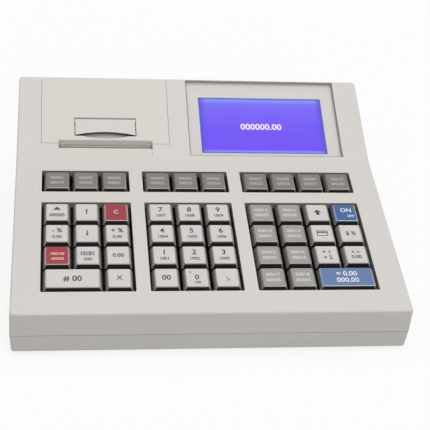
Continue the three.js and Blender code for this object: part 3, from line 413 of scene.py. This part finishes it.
def roll_paper(name, centre):
    """Thermal paper: smooth round the roll, with the fine rings of its turns on the ends."""
    s = Shader(name)
    parts = s.split(s.add("VectorMath", {0: s.coords(), 1: centre}, operation="SUBTRACT").outputs[0])
    squares = [s.math("MULTIPLY", part, part) for part in parts[1:3]]
    radius = s.math("SQRT", s.math("ADD", *squares))
    rings = s.math("SINE", s.math("MULTIPLY", radius, ROLL_RING_RATE))
    sideways = s.math("ABSOLUTE", s.split(s.normal((0, 0, 0)))[0])
    ends = s.ramp_between(sideways, 0.6, 0.8)
    lines = s.math("MULTIPLY", s.ramp_between(rings, -1.0, 1.0), ends)
    base = s.tint(srgb(240, 238, 232), s.coords(), 50, 0.02)
    base = s.mix(s.math("MULTIPLY", lines, 0.45), base, srgb(188, 184, 174))
    core = s.ramp_between(radius, ROLL_CORE_EDGE[0] * MM, ROLL_CORE_EDGE[1] * MM)
    base = s.mix(core, base, srgb(176, 150, 112))
    s.set(Base_Color=base, Roughness=0.72, Specular_IOR_Level=0.3)
    s.bump(s.math("ADD", lines, s.noise(s.coords(), 2200, 3.0)), 0.2, 0.03)
    return s.material


def screen(name, low, high):
    """Lit graphic display: violet-blue with lighter bands along its top and bottom and dark sides."""
    s = Shader(name)
    parts = s.split(s.coords(rear_place, (REAR_SLOPE, 0, 0)))
    across = s.ramp_between(parts[0], low[0], high[0])
    up = s.ramp_between(parts[1], low[1], high[1])
    glow = s.ramp(up, [
        (0.0, srgb(84, 96, 232)), (1.0, srgb(92, 112, 232)), (0.03, srgb(136, 150, 250)),
        (0.06, srgb(106, 64, 250)), (0.35, srgb(106, 68, 251)), (0.8, srgb(118, 92, 252)),
        (0.9, srgb(114, 104, 252)), (0.965, srgb(128, 152, 250))])
    edge = s.ramp(across, [
        (0.0, (1, 1, 1, 1)), (1.0, (1, 1, 1, 1)), (0.012, (0.6, 0.6, 0.6, 1)), (0.05, (0, 0, 0, 1)),
        (0.95, (0, 0, 0, 1)), (0.985, (0.6, 0.6, 0.6, 1))])
    color = s.mix(edge, glow, srgb(62, 74, 206))
    cloud = s.ramp_between(s.noise(s.coords(), 45, 2.0), 0.3, 0.7)
    color = s.mix(s.math("MULTIPLY", cloud, 0.12), color, srgb(128, 104, 252))
    dots = [s.math("SINE", s.math("MULTIPLY", part, 2 * math.pi / (DOT_PITCH * MM))) for part in parts[:2]]
    grid = s.ramp_between(s.math("MAXIMUM", *dots), 0.9, 1.0)
    color = s.mix(s.math("MULTIPLY", grid, 0.12), color, srgb(84, 66, 214))
    s.set(Base_Color=srgb(6, 6, 16), Roughness=0.35, Specular_IOR_Level=0.1, Emission_Color=color,
          Emission_Strength=0.95)
    return s.material


def clear_pane(name):
    s = Shader(name)
    place = s.coords()
    haze = s.ramp_between(s.noise(place, 30, 3.0), 0.3, 0.8)
    s.set(Base_Color=srgb(236, 238, 238), Alpha=0.02, Specular_IOR_Level=0.15,
          Roughness=s.math("ADD", s.math("MULTIPLY", haze, 0.05), 0.03))
    return s.material


def smoked(name, color):
    s = Shader(name)
    place = s.coords()
    s.set(Base_Color=s.tint(color, place, 30, 0.1), Roughness=0.12, Specular_IOR_Level=0.5)
    s.bump(s.noise(place, 300, 2.0), 0.03, 0.02)
    return s.material


# Painting of the CAD nodes

def paint(name, *materials, choose=None):
    """Gives a CAD node its materials; choose maps a face's middle and normal to a material's number."""
    mesh = nodes[name].data
    mesh.materials.clear()
    for material in materials:
        mesh.materials.append(material)
    if choose is not None:
        for face in mesh.polygons:
            face.material_index = choose(face.center, face.normal)


def dress_case():
    case_plastic = moulded("case_plastic", srgb(214, 210, 205))
    cover_plastic = moulded("cover_plastic", srgb(215, 211, 205))
    base_plastic = moulded("base_plastic", srgb(213, 210, 205))
    latch_plastic = moulded("latch_plastic", srgb(213, 210, 205), roughness=0.42)
    # Painted shade: the latch's front edge is painted dark, as the shadow under the latch
    latch_edge_painted_shade = moulded("latch_edge_painted_shade", srgb(74, 70, 65), roughness=0.55)
    foot_rubber = rubber("foot_rubber", srgb(52, 50, 49))
    # Painted shade: a darker grey on the walls of the key openings
    painted_opening_shade = moulded("opening_walls_painted_shade", srgb(150, 146, 140))
    field_low, field_high = extent("key_switch_board", key_turn)
    face_level = extent("key_7", key_turn)[1].z - OPENING_DEPTH * MM
    key_back = key_turn.inverted()

    # Chooses the walls of the key openings, which take the painted shade
    def housing_part(middle, normal):
        spot, facing = key_back @ middle, key_back.to_3x3() @ normal
        in_field = all(field_low[axis] < spot[axis] < field_high[axis] for axis in range(2))
        return int(in_field and spot.z < face_level and abs(facing.z) < WALL_FACING)

    paint("upper_housing", case_plastic, painted_opening_shade, choose=housing_part)
    back = rear_frame.inverted()
    latch_low, latch_high = extent("cover_latch", rear_frame)
    scoop_front = latch_low.y - SCOOP_REACH * MM
    scoop_rear = latch_low.y + SCOOP_END * MM
    scoop_floor, scoop_rim = (depth * MM for depth in SCOOP_DEPTHS)

    def cover_part(middle, normal):
        spot = back @ middle
        beside = latch_low.x < spot.x < latch_high.x and scoop_front < spot.y < scoop_rear
        sunk = scoop_floor < spot.z < scoop_rim and (back.to_3x3() @ normal).z > SCOOP_FACING
        return int(beside and sunk)

    # The scoop's faces take the painted shade, darkest under the latch
    scoop = scoop_painted_shade("scoop_painted_shade", srgb(205, 201, 195), srgb(58, 55, 51), scoop_front,
                          latch_low.y + SCOOP_BACK * MM)
    paint("printer_cover", cover_plastic, scoop, choose=cover_part)
    edge_floor = latch_high.z - LATCH_EDGE_DEPTH * MM

    # Chooses the latch's front edge faces, which take the painted shade
    def latch_part(middle, normal):
        front_face = (back.to_3x3() @ normal).y < LATCH_EDGE_FACING
        return int(front_face and (back @ middle).z > edge_floor)

    paint("cover_latch", latch_plastic, latch_edge_painted_shade, choose=latch_part)
    paint("lower_housing", base_plastic, foot_rubber,
          choose=lambda middle, _: int(middle.z < FOOT_HEIGHT * MM))


def dress_inside():
    board = circuit_board("circuit_board", srgb(28, 92, 52), srgb(58, 138, 84))
    black_board = circuit_board("black_circuit_board", srgb(26, 27, 26), srgb(44, 46, 44))
    black = moulded("black_plastic", srgb(34, 34, 36), roughness=0.45)
    white_nylon = moulded("white_nylon", srgb(226, 224, 216), roughness=0.4)
    steel = metal("plated_steel", srgb(186, 188, 190))
    bright = metal("ground_shaft", srgb(168, 168, 168), roughness=0.3)
    tin = metal("socket_shell", srgb(190, 192, 194), roughness=0.3)
    switch_grey = moulded("switch_plastic", srgb(58, 57, 58), roughness=0.5)
    platen_rubber = rubber("platen_rubber", srgb(122, 112, 100))
    low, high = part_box("platen_roller")
    middle_x = (low.x + high.x) / 2
    rubber_x = middle_x - RUBBER_REACH * MM, middle_x + RUBBER_REACH * MM
    shaft_y, shaft_z = (low.y + high.y) / 2, (low.z + high.z) / 2

    def roller_part(middle, _):
        if rubber_x[0] < middle.x < rubber_x[1]:
            return 0
        if math.hypot(middle.y - shaft_y, middle.z - shaft_z) <= SHAFT_REACH * MM:
            return 1
        return 2 if middle.x > rubber_x[1] + MM else 0

    paint("platen_roller", platen_rubber, bright, white_nylon, choose=roller_part)
    print_low, print_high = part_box("print_mechanism")

    def mechanism_part(middle, _):
        if print_high.x - GEARS_WIDTH * MM < middle.x < print_high.x - MECHANISM_SIDE * MM:
            return 1
        motor_x = print_low.x + MECHANISM_SIDE * MM < middle.x < print_low.x + MOTOR_WIDTH * MM
        motor_y = middle.y < print_low.y + MOTOR_DEPTH * MM
        return 2 if motor_x and motor_y and middle.z > print_low.z + MOTOR_FOOT * MM else 0

    paint("print_mechanism", steel, white_nylon, black, choose=mechanism_part)
    back = key_turn.inverted()
    board_level = extent("key_switch_board", key_turn)[0].z + BOARD_LAYER * MM
    paint("key_switch_board", black_board, switch_grey,
          choose=lambda middle, _: int((back @ middle).z > board_level))
    board_low, board_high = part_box("main_board")

    def board_part(middle, _):
        if middle.z < board_low.z + BOARD_LAYER * MM:
            return 0
        low_part = middle.z < board_low.z + LOW_PARTS_HEIGHT * MM
        return 1 if low_part or middle.y > board_high.y - SOCKETS_DEPTH * MM else 2

    paint("main_board", board, black, tin, choose=board_part)
    low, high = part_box("paper_roll")
    paint("paper_roll", roll_paper("roll_paper", (low + high) / 2))


def dress_displays():
    """Paints both displays, and gives the lit glass's low and high corners and its level on the slope."""
    back = rear_frame.inverted()
    module = nodes["lcd_module"].data
    glass_top = extent("lcd_module", rear_frame)[1].z

    def glass_part(middle, _):
        return int((back @ middle).z > glass_top - GLASS_LAYER * MM)

    faces = [face for face in module.polygons if glass_part(face.center, None)]
    points = [back @ module.vertices[i].co for face in faces for i in face.vertices]
    glass_low = [min(p[axis] for p in points) for axis in range(2)]
    glass_high = [max(p[axis] for p in points) for axis in range(2)]
    lit = screen("lit_screen", glass_low, glass_high)
    housing = moulded("module_frame", srgb(38, 40, 56), roughness=0.5)
    paint("lcd_module", housing, lit, choose=glass_part)
    paint("display_window", clear_pane("clear_pane"))
    paint("customer_display", smoked("smoked_lens", srgb(24, 25, 30)))
    return glass_low, glass_high, glass_top


# Pieces built here

def link(name, data):
    """A new object in the scene."""
    thing = bpy.data.objects.new(name, data)
    bpy.context.scene.collection.objects.link(thing)
    return thing


def add_piece(name, mesh, material, body):
    mesh.materials.append(material)
    piece = link(name, mesh)
    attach(piece, body)
    return piece


def finished(bm, turn=Matrix.Identity(4)):
    """The mesh of a bmesh, turned into place."""
    bmesh.ops.recalc_face_normals(bm, faces=bm.faces)
    mesh = bpy.data.meshes.new("piece")
    bm.to_mesh(mesh)
    bm.free()
    mesh.transform(turn)
    return mesh


def add_band(bm, lower, upper):
    """Faces between two rings of the same number of vertices."""
    count = len(lower)
    for i in range(count):
        bm.faces.new((lower[i], lower[(i + 1) % count], upper[(i + 1) % count], upper[i]))


def add_solid(bm, rings):
    """A closed solid through a row of rings."""
    for lower, upper in zip(rings, rings[1:]):
        add_band(bm, lower, upper)
    bm.faces.new(rings[0][::-1])
    bm.faces.new(rings[-1])


def add_side_plate(bm, outline, near, far):
    """A slab between two values of X, over an outline in (y, z)."""
    add_solid(bm, [[bm.verts.new((x, y, z)) for y, z in outline] for x in (near, far)])


def rounded_outline(low, high, corner):
    """Corners of a rectangle with round corners, counter-clockwise."""
    points = []
    corners = ((high[0], high[1]), (low[0], high[1]), (low[0], low[1]), (high[0], low[1]))
    for quarter, (x, y) in enumerate(corners):
        side_x = -1 if quarter in (0, 3) else 1
        side_y = -1 if quarter in (0, 1) else 1
        for step in range(LABEL_CORNER_STEPS + 1):
            angle = math.pi / 2 * (quarter + step / LABEL_CORNER_STEPS)
            points.append((x + side_x * corner + corner * math.cos(angle),
                           y + side_y * corner + corner * math.sin(angle)))
    return points


def add_prism(bm, outline, bottom, top, edge=0.0):
    """A flat closed slab over an outline, with its upper edge drawn in by edge."""
    centre = [sum(p[axis] for p in outline) / len(outline) for axis in range(2)]
    rings = [[bm.verts.new((x, y, bottom)) for x, y in outline],
             [bm.verts.new((x, y, top - edge)) for x, y in outline]]
    if edge:
        half = [max(abs(p[axis] - centre[axis]) for p in outline) for axis in range(2)]
        shrunk = [(centre[0] + (x - centre[0]) * (1 - edge / half[0]),
                   centre[1] + (y - centre[1]) * (1 - edge / half[1])) for x, y in outline]
        rings.append([bm.verts.new((x, y, top)) for x, y in shrunk])
    add_solid(bm, rings)


def add_text(bm, text, height, x, y, bottom, weight=BOLD):
    """Raised text with its middle at x, y and its capitals that high."""
    curve = bpy.data.curves.new("text", "FONT")
    curve.body = text
    curve.align_x = "CENTER"
    curve.resolution_u = 3
    curve.offset = weight
    size = height / FONT_CAP_HEIGHT
    curve.extrude = LEGEND_THICKNESS * MM / size / 2
    holder = link("text", curve)
    mesh = bpy.data.meshes.new_from_object(holder.evaluated_get(bpy.context.evaluated_depsgraph_get()))
    place = Matrix.Translation((x, y - height / 2, bottom + LEGEND_THICKNESS * MM / 2))
    mesh.transform(place @ Matrix.Scale(size, 4))
    bm.from_mesh(mesh)
    bpy.data.objects.remove(holder)
    bpy.data.curves.remove(curve)
    bpy.data.meshes.remove(mesh)


def add_polygon(bm, points, x, y, bottom):
    outline = [(x + px * MM, y + py * MM) for px, py in points]
    add_prism(bm, outline, bottom, bottom + LEGEND_THICKNESS * MM)


def box_points(x0, y0, x1, y1):
    return [(x0, y0), (x1, y0), (x1, y1), (x0, y1)]


# Marks on the keys, as outlines in millimetres
UP_ARROW = [(-0.35, -2.2), (0.35, -2.2), (0.35, 0.9), (1.15, 0.9), (0, 2.3), (-1.15, 0.9), (-0.35, 0.9)]
DOWN_ARROW = [(x, -y) for x, y in reversed(UP_ARROW)]
FEED_MARK = [(-2.6, -1.1), (2.6, -1.1), (0, 1.7)]
SHIFT_MARK = [(-1.1, -2.3), (1.1, -2.3), (1.1, 0.1), (2.7, 0.1), (0, 2.7), (-2.7, 0.1), (-1.1, 0.1)]
CARD_MARK = [box_points(-3.6, 1.6, 3.6, 2.2), box_points(-3.6, 0.2, 3.6, 1.1),
             box_points(-3.6, -1.9, -3.1, 1.6), box_points(3.1, -1.9, 3.6, 1.6),
             box_points(-3.6, -2.4, 3.6, -1.9)]
BAR_WIDTHS = (0.5, 0.3, 0.7, 0.3, 0.5, 0.3, 0.9, 0.3, 0.5, 0.3)
BAR_GAP = 0.42
BAR_ENDS = (-0.2, 3.2)


def barcode():
    bars = []
    x = -(sum(BAR_WIDTHS) + BAR_GAP * (len(BAR_WIDTHS) - 1)) / 2
    for width in BAR_WIDTHS:
        bars.append(box_points(x, BAR_ENDS[0], x + width, BAR_ENDS[1]))
        x += width + BAR_GAP
    return bars


# Legends: text lines as (text, height, x, y), and shapes as (points, x, y), in millimetres from the middle
LEGENDS = {
    "paper_feed": ([("00000", 2.7, 0, -2.6)], [(FEED_MARK, 0, 3.0)]),
    "up": ([], [(UP_ARROW, 0, 0.4)]),
    "down": ([], [(DOWN_ARROW, 0, 0.2)]),
    "clear": ([("C", 3.2, 0, 0.3)], []),
    "minus_percent": ([("- %", 3.6, 0, 2.6), ("0.00", 2.4, 0, -2.9)], []),
    "plus_percent": ([("+ %", 3.6, 0, 2.6), ("0.00", 2.4, 0, -2.9)], []),
    "void": ([("-000.00", 2.1, 0, 1.4), ("-00000", 2.1, 0, -2.8)], []),
    "barcode": ([("000", 2.4, 0, -3.2)], [(bar, 0, 0) for bar in barcode()]),
    "price": ([("0.00", 2.9, 0, 0)], []),
    "lookup": ([("# 00", 4.2, 0, -0.2)], []),
    "multiply": ([("X", 3.3, 0, 0.2)], []),
    "00": ([("00", 3.9, 0, 0.2)], []),
    "0": ([("0", 3.9, 0, 0.3), ("100", 1.9, 0, -3.9), ("0", 1.6, -3.9, 4.2)], []),
    "point": ([(".", 4.2, 0, 1.0), (", +", 2.2, 0, -2.2)], []),
    "shift": ([], [(SHIFT_MARK, 0, 0)]),
    "card": ([], [(shape, 0, 0) for shape in CARD_MARK]),
    "payment": ([("+ 1", 3.0, 0, 2.4), ("+ 2", 3.0, 0, -2.4)], []),
    "on": ([("ON", 3.4, 0.6, 2.2), ("OFF", 1.9, 3.1, -3.1)], []),
    "currency": ([("$ %", 3.2, 0, 0)], []),
    "subtotal": ([("+ =", 2.7, 0, 2.2), ("0.00", 2.7, 0, -1.9)], []),
    "total": ([("= 0.00", 3.7, 0, 2.7), ("000.00", 3.7, 0, -2.6)], []),
}
for digit in "123456789":
    LEGENDS[digit] = ([(digit, 4.0, 0, 2.5), ("100" + digit, 2.3, 0, -2.9)], [])
ITEM_COUNT = 18
for number in range(1, ITEM_COUNT + 1):
    LEGENDS["item_%02d" % number] = (
        [("%05d" % number, 2.5, 0, 2.2), ("%05d" % (number + ITEM_COUNT), 2.5, 0, -2.4)], [])

# Item keys in the right-hand block, whose labels are a lighter grey
FIRST_NEAR_ITEM = 11
NEAR_ITEMS = {"item_%02d" % number for number in range(FIRST_NEAR_ITEM, ITEM_COUNT + 1)}


def key_looks():
    """For each kind of key its label, ink and slot, and the plastic of its cap."""
    dark_ink = ink("dark_ink", srgb(74, 70, 72))
    white_ink = ink("white_ink", srgb(226, 228, 232))
    pink_ink = ink("pink_ink", srgb(226, 190, 188))
    pale_ink = ink("pale_ink", srgb(178, 175, 171))
    near_ink = ink("near_pale_ink", srgb(212, 209, 205))
    looks = {
        "white": (printed_card("label_white", srgb(208, 205, 203)), dark_ink, "keys_white"),
        "item": (printed_card("label_grey", srgb(119, 115, 112)), pale_ink, "keys_grey"),
        "near_item": (printed_card("label_light_grey", srgb(155, 152, 148)), near_ink, "keys_grey"),
        "red": (printed_card("label_red", srgb(150, 27, 40)), pink_ink, "keys_red"),
        "on": (printed_card("label_blue", srgb(43, 88, 146)), white_ink, "keys_blue"),
        "total": (printed_card("label_light_blue", srgb(88, 117, 164)), white_ink, "keys_light_blue"),
    }
    # Each cap's colours: its sides, the painted highlight and the painted shade of its bevel, and its top
    pale = key_plastic("cap_pale", srgb(172, 168, 164), srgb(152, 149, 146), srgb(112, 109, 106),
                       srgb(134, 131, 128))
    grey = key_plastic("cap_grey", srgb(150, 146, 142), srgb(182, 178, 174), srgb(98, 95, 92),
                       srgb(112, 109, 106))
    rosy = key_plastic("cap_rosy", srgb(164, 156, 154), srgb(196, 182, 182), srgb(168, 152, 152),
                       srgb(160, 134, 136))
    bluish = key_plastic("cap_bluish", srgb(150, 154, 160), srgb(192, 200, 212), srgb(128, 144, 172),
                         srgb(136, 154, 184))
    caps = {"white": pale, "item": grey, "near_item": grey, "red": rosy, "on": bluish, "total": bluish}
    return looks, caps


def look_of(key):
    if key in NEAR_ITEMS:
        return "near_item"
    if key.startswith("item"):
        return "item"
    if key in ("clear", "void"):
        return "red"
    return key if key in ("on", "total") else "white"


def dress_keys():
    looks, caps = key_looks()
    back = key_turn.inverted()
    for name in sorted(n for n in nodes if n.startswith("key_") and n != "key_switch_board"):
        key = name[len("key_"):]
        label, legend_ink, slot = looks[look_of(key)]
        paint(name, caps[look_of(key)])
        top_level = extent(name, key_turn)[1].z - KEY_TOP_LAYER * MM
        top = [p for p in (back @ v.co for v in nodes[name].data.vertices) if p.z > top_level]
        low = Vector([min(p[axis] for p in top) + LABEL_MARGIN_LOW[axis] * MM for axis in range(2)])
        high = Vector([max(p[axis] for p in top) - LABEL_MARGIN_HIGH[axis] * MM for axis in range(2)])
        level = top[0].z
        bm = bmesh.new()
        outline = rounded_outline(low, high, LABEL_CORNER * MM)
        add_prism(bm, outline, level, level + LABEL_THICKNESS * MM, LABEL_THICKNESS * MM / 2)
        add_piece("label_" + key, finished(bm, key_turn), label, name)
        middle = (low + high) / 2
        bottom = level + (LABEL_THICKNESS - LEGEND_SUNK) * MM
        bm = bmesh.new()
        lines, shapes = LEGENDS[key]
        for text, height, x, y in lines:
            add_text(bm, text, height * MM, middle.x + x * MM, middle.y + y * MM, bottom)
        for points, x, y in shapes:
            add_polygon(bm, points, middle.x + x * MM, middle.y + y * MM, bottom)
        add_piece("legend_" + key, finished(bm, key_turn), legend_ink, name)


def add_display_text(low, high, level):
    """The amount on the screen."""
    bm = bmesh.new()
    x = (low[0] + high[0]) / 2 - MM
    y = low[1] + (high[1] - low[1]) * AMOUNT_LEVEL
    add_text(bm, "000000.00", AMOUNT_HEIGHT * MM, x, y, level, AMOUNT_BOLD)
    s = Shader("lit_digits")
    glow = s.tint(srgb(232, 214, 250), s.coords(), 300, 0.03)
    s.set(Base_Color=srgb(120, 110, 160), Emission_Color=glow, Emission_Strength=0.95, Roughness=0.4)
    add_piece("screen_amount", finished(bm, rear_frame), s.material, "case")


def add_frame(name, low, high, width, front_width, bottom, top, material):
    """A flat frame round the inside of a rectangle on the rear slope."""
    outer = box_points(low[0], low[1], high[0], high[1])
    inner = box_points(low[0] + width, low[1] + front_width, high[0] - width, high[1] - width)
    bm = bmesh.new()
    low_outer, low_inner, high_outer, high_inner = (
        [bm.verts.new((x, y, z)) for x, y in ring] for z in (bottom, top) for ring in (outer, inner))
    rings = (low_outer, high_outer, high_inner, low_inner, low_outer)
    for lower, upper in zip(rings, rings[1:]):
        add_band(bm, lower, upper)
    add_piece(name, finished(bm, rear_frame), material, "case")


def add_display_trim(low, high, level):
    """The pane's thin seal, whose grey stands in for the shade in the gap round the pane, and the mask that
    closes the gap round the screen's glass, whose blue stands in for the screen's glow at its edge.
    """
    pane_low, pane_high = extent("display_window", rear_frame)
    edge = PANE_SEAL_REACH * MM
    add_frame("window_seal_painted_shade", (pane_low.x - edge, pane_low.y - edge), (pane_high.x + edge, pane_high.y + edge),
              PANE_SEAL_WIDTH * MM, PANE_SEAL_FRONT * MM, pane_high.z, pane_high.z + PANE_SEAL_HEIGHT * MM,
              rubber("window_seal_painted_shade", srgb(140, 137, 133)))
    reach = MASK_REACH * MM
    width = reach - MASK_GAP * MM
    # Painted glow: the mask's blue stands in for the screen's light at the edge of its glass
    add_frame("screen_mask", (low[0] - reach, low[1] - reach), (high[0] + reach, high[1] + reach),
              width, width, level - MASK_HEIGHT * MM, level,
              moulded("mask_painted_glow", srgb(96, 102, 190), grain=1800))


def add_recess_strip():
    """Strip behind the pane's rear edge, over the slit where the recess breaks through the rear wall."""
    pane_low, pane_high = extent("display_window", rear_frame)
    corner = rear_frame @ Vector((0, pane_high.y, pane_low.z))
    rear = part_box("upper_housing")[1].y
    bm = bmesh.new()
    outline = box_points(pane_low.x, corner.y + STRIP_GAP * MM, pane_high.x, rear - STRIP_GAP * MM)
    add_prism(bm, outline, corner.z - STRIP_HEIGHT * MM, corner.z + STRIP_HEIGHT * MM)
    plastic = moulded("strip_plastic", srgb(214, 210, 205))
    add_piece("recess_strip", finished(bm), plastic, "case")


def add_cover_felts():
    """Felt strips on the cover's sides, in the seams beside the case; their grey stands in for the shade in
    the seams.
    """
    low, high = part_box("printer_cover")
    sides = {"left": (low.x + FELT_FROM_PIN * MM, -1), "right": (high.x - FELT_FROM_PIN * MM, 1)}
    outline = [rear_frame @ (Vector((0, along, depth)) * MM) for along, depth in FELT_ON_SLOPE]
    outline = [(p.y, p.z) for p in outline] + [(y * MM, z * MM) for y, z in FELT_AT_HINGE]
    # Painted shade: the felt's grey stands in for the shade in the cover's seams
    felt = rubber("cover_felt_seam_shade", srgb(178, 175, 170))
    for side, (face, outwards) in sides.items():
        bm = bmesh.new()
        near, far = (face + outwards * gap * MM for gap in FELT_GAPS)
        add_side_plate(bm, outline, near, far)
        add_piece("cover_felt_seam_shade_" + side, finished(bm), felt, "printer_cover")


def add_ticket_guide():
    """Plate across the slot in front of the ticket, with a raised cheek at each of its edges."""
    low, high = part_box("paper_roll")
    middle = (low.x + high.x) / 2
    outline = [(middle + x * MM, z * MM) for x, z in GUIDE_OUTLINE]
    bm = bmesh.new()
    add_solid(bm, [[bm.verts.new((x, y * MM, z)) for x, z in outline] for y in GUIDE_DEPTH])
    guide = moulded("guide_plastic", srgb(216, 210, 199), grain=1800, roughness=0.45)
    add_piece("ticket_guide", finished(bm), guide, "case")


def add_screws():
    """Cross-recessed screws in the four holes of the base."""
    steel = metal("screw_steel", srgb(150, 150, 152), 0.35, (900, 900, 900))
    low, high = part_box("lower_housing")
    inset_x, inset_y = (inset * MM for inset in SCREW_INSET)
    angles = [2 * math.pi * side / SCREW_SIDES for side in range(SCREW_SIDES)]
    rows = (low.y + inset_y, high.y - inset_y)
    places = [(x, y) for x in (low.x + inset_x, high.x - inset_x) for y in rows]
    for number, (x, y) in enumerate(places, 1):
        bm = bmesh.new()
        rings = []
        for share, z in SCREW_PROFILE:
            radius = SCREW_RADIUS * share * MM
            rings.append([bm.verts.new((radius * math.cos(angle), radius * math.sin(angle), z * MM))
                          for angle in angles])
        add_solid(bm, rings)
        mesh = finished(bm, Matrix.Translation((x, y, SCREW_SEAT * MM)))
        head = add_piece("base_screw_%d" % number, mesh, steel, "case")
        cut_cross(head, x, y)


def cut_cross(head, x, y):
    """Cuts the cross recess into a screw head."""
    length, width, depth = (value * MM for value in SCREW_SLOT)
    top = (SCREW_SEAT - SCREW_DOME) * MM
    for across, along in ((length, width), (width, length)):
        bm = bmesh.new()
        bar = box_points(x - across / 2, y - along / 2, x + across / 2, y + along / 2)
        add_prism(bm, bar, top - depth, top + depth)
        tool = link("tool", finished(bm))
        cutter = head.modifiers.new("cross", "BOOLEAN")
        cutter.operation = "DIFFERENCE"
        cutter.object = tool
        cutter.solver = "EXACT"
        cut = head.evaluated_get(bpy.context.evaluated_depsgraph_get())
        result = bpy.data.meshes.new_from_object(cut)
        head.modifiers.remove(cutter)
        head.data = result
        bpy.data.objects.remove(tool)


def add_contacts():
    """Sprung contacts of the three sockets."""
    gold = metal("contact_gold", srgb(214, 176, 92), 0.25, (900, 900, 900))
    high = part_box("main_board")[1]
    first = high.x - BOARD_WIDTH * MM + FIRST_SOCKET * MM
    outline = [(high.y + y * MM, z * MM) for y, z in CONTACT_OUTLINE]
    half = CONTACT_WIDTH * MM / 2
    for socket in range(SOCKET_COUNT):
        middle = first + socket * SOCKET_PITCH * MM
        bm = bmesh.new()
        for index in range(CONTACT_COUNT):
            x = middle + (index - (CONTACT_COUNT - 1) / 2) * CONTACT_PITCH * MM
            add_side_plate(bm, outline, x - half, x + half)
        add_piece("socket_contacts_%d" % (socket + 1), finished(bm), gold, "case")


def add_paper():
    """The ticket: from the roll, past the print head and up to the cover's edge, with a torn end."""
    low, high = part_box("paper_roll")
    middle = (low.x + high.x) / 2
    path = [Vector((0, y, z)) * MM for y, z in PAPER_PATH]
    bm = bmesh.new()
    sheets = ([], [])
    for index, point in enumerate(path):
        along = (path[min(index + 1, len(path) - 1)] - path[max(index - 1, 0)]).normalized()
        out = Vector((0, -along.z, along.y)) * PAPER_THICKNESS * MM / 2
        tooth = PAPER_TOOTH * MM if index == len(path) - 1 else 0
        for sheet, side in zip(sheets, (1, -1)):
            row = []
            for column in range(PAPER_COLUMNS + 1):
                x = middle + (column / PAPER_COLUMNS - 0.5) * PAPER_WIDTH * MM
                shift = along * tooth * (1 if column % 2 else -1)
                row.append(bm.verts.new(Vector((x, 0, 0)) + point + out * side + shift))
            sheet.append(row)
    for rows in sheets:
        for lower, upper in zip(rows, rows[1:]):
            for a, b, c, d in zip(lower, lower[1:], upper[1:], upper):
                bm.faces.new((a, b, c, d))
    front, rear = sheets
    edges = ((front[0], rear[0]), (front[-1], rear[-1]),
             ([row[0] for row in front], [row[0] for row in rear]),
             ([row[-1] for row in front], [row[-1] for row in rear]))
    for front_edge, rear_edge in edges:
        for a, b, c, d in zip(front_edge, front_edge[1:], rear_edge[1:], rear_edge):
            bm.faces.new((a, b, c, d))
    paper = printed_card("ticket_paper", srgb(238, 232, 220), 0.75, 0.0)
    add_piece("ticket_paper", finished(bm), paper, "case")


# Stage, light and camera

def add_stage():
    half = FLOOR_SIZE / 2
    mesh = bpy.data.meshes.new("floor")
    mesh.from_pydata([(x, y, 0) for x, y in box_points(-half, -half, half, half)], [], [(0, 1, 2, 3)])
    floor = link("floor", mesh)
    s = Shader("floor")
    path = s.add("LightPath").outputs
    reflected = s.math("MAXIMUM", path["Is Glossy Ray"], path["Is Transmission Ray"])
    seen = s.math("MAXIMUM", path["Is Camera Ray"], reflected)
    s.set(Base_Color=s.mix(seen, FLOOR_BOUNCE, FLOOR_SEEN), Roughness=1.0, Specular_IOR_Level=0.0,
          Emission_Color=(1, 1, 1, 1), Emission_Strength=s.math("MULTIPLY", seen, FLOOR_GLOW))
    mesh.materials.append(s.material)


def add_light():
    world = bpy.data.worlds.new("studio")
    bpy.context.scene.world = world
    world.use_nodes = True
    tree = world.node_tree
    background = tree.nodes["Background"]
    background.inputs["Color"].default_value = (1, 1, 1, 1)
    path = tree.nodes.new("ShaderNodeLightPath")
    seen = path.outputs["Is Camera Ray"]
    for kind in ("Is Glossy Ray", "Is Transmission Ray"):
        either = tree.nodes.new("ShaderNodeMath")
        either.operation = "MAXIMUM"
        tree.links.new(seen, either.inputs[0])
        tree.links.new(path.outputs[kind], either.inputs[1])
        seen = either.outputs[0]
    level = tree.nodes.new("ShaderNodeMapRange")
    level.inputs["To Min"].default_value = WORLD_LEVEL
    level.inputs["To Max"].default_value = 1.0
    tree.links.new(seen, level.inputs["Value"])
    tree.links.new(level.outputs["Result"], background.inputs["Strength"])
    for name, (strength, source, width) in LAMPS.items():
        sun = bpy.data.lights.new(name, "SUN")
        sun.energy = strength
        sun.angle = math.radians(width)
        lamp = link(name, sun)
        lamp.rotation_euler = Vector(source).to_track_quat("Z", "Y").to_euler()
        lamp.location = Vector(source)


def add_camera():
    pitch, yaw, roll = (math.radians(a) for a in (CAMERA_PITCH, CAMERA_YAW, CAMERA_ROLL))
    aim = Vector((math.sin(yaw) * math.cos(pitch), math.cos(yaw) * math.cos(pitch), -math.sin(pitch)))
    level = Vector((math.cos(yaw), -math.sin(yaw), 0))
    upward = level.cross(aim)
    right = level * math.cos(roll) + upward * math.sin(roll)
    up = upward * math.cos(roll) - level * math.sin(roll)
    data = bpy.data.cameras.new("camera")
    data.lens = CAMERA_LENS
    data.sensor_width = CAMERA_SENSOR
    data.shift_x = CAMERA_SHIFT
    data.clip_start, data.clip_end = CAMERA_CLIP
    camera = link("camera", data)
    turn = Matrix((right, up, -aim)).transposed().to_4x4()
    camera.matrix_world = Matrix.Translation(Vector(CAMERA_PLACE) * MM) @ turn
    bpy.context.scene.camera = camera


add_camera()
add_light()
add_stage()
dress_case()
dress_inside()
screen_face = dress_displays()
add_display_text(*screen_face)
add_display_trim(*screen_face)
dress_keys()
add_screws()
add_contacts()
add_paper()
add_ticket_guide()
add_recess_strip()
add_cover_felts()
bpy.context.scene.view_settings.view_transform = "Standard"
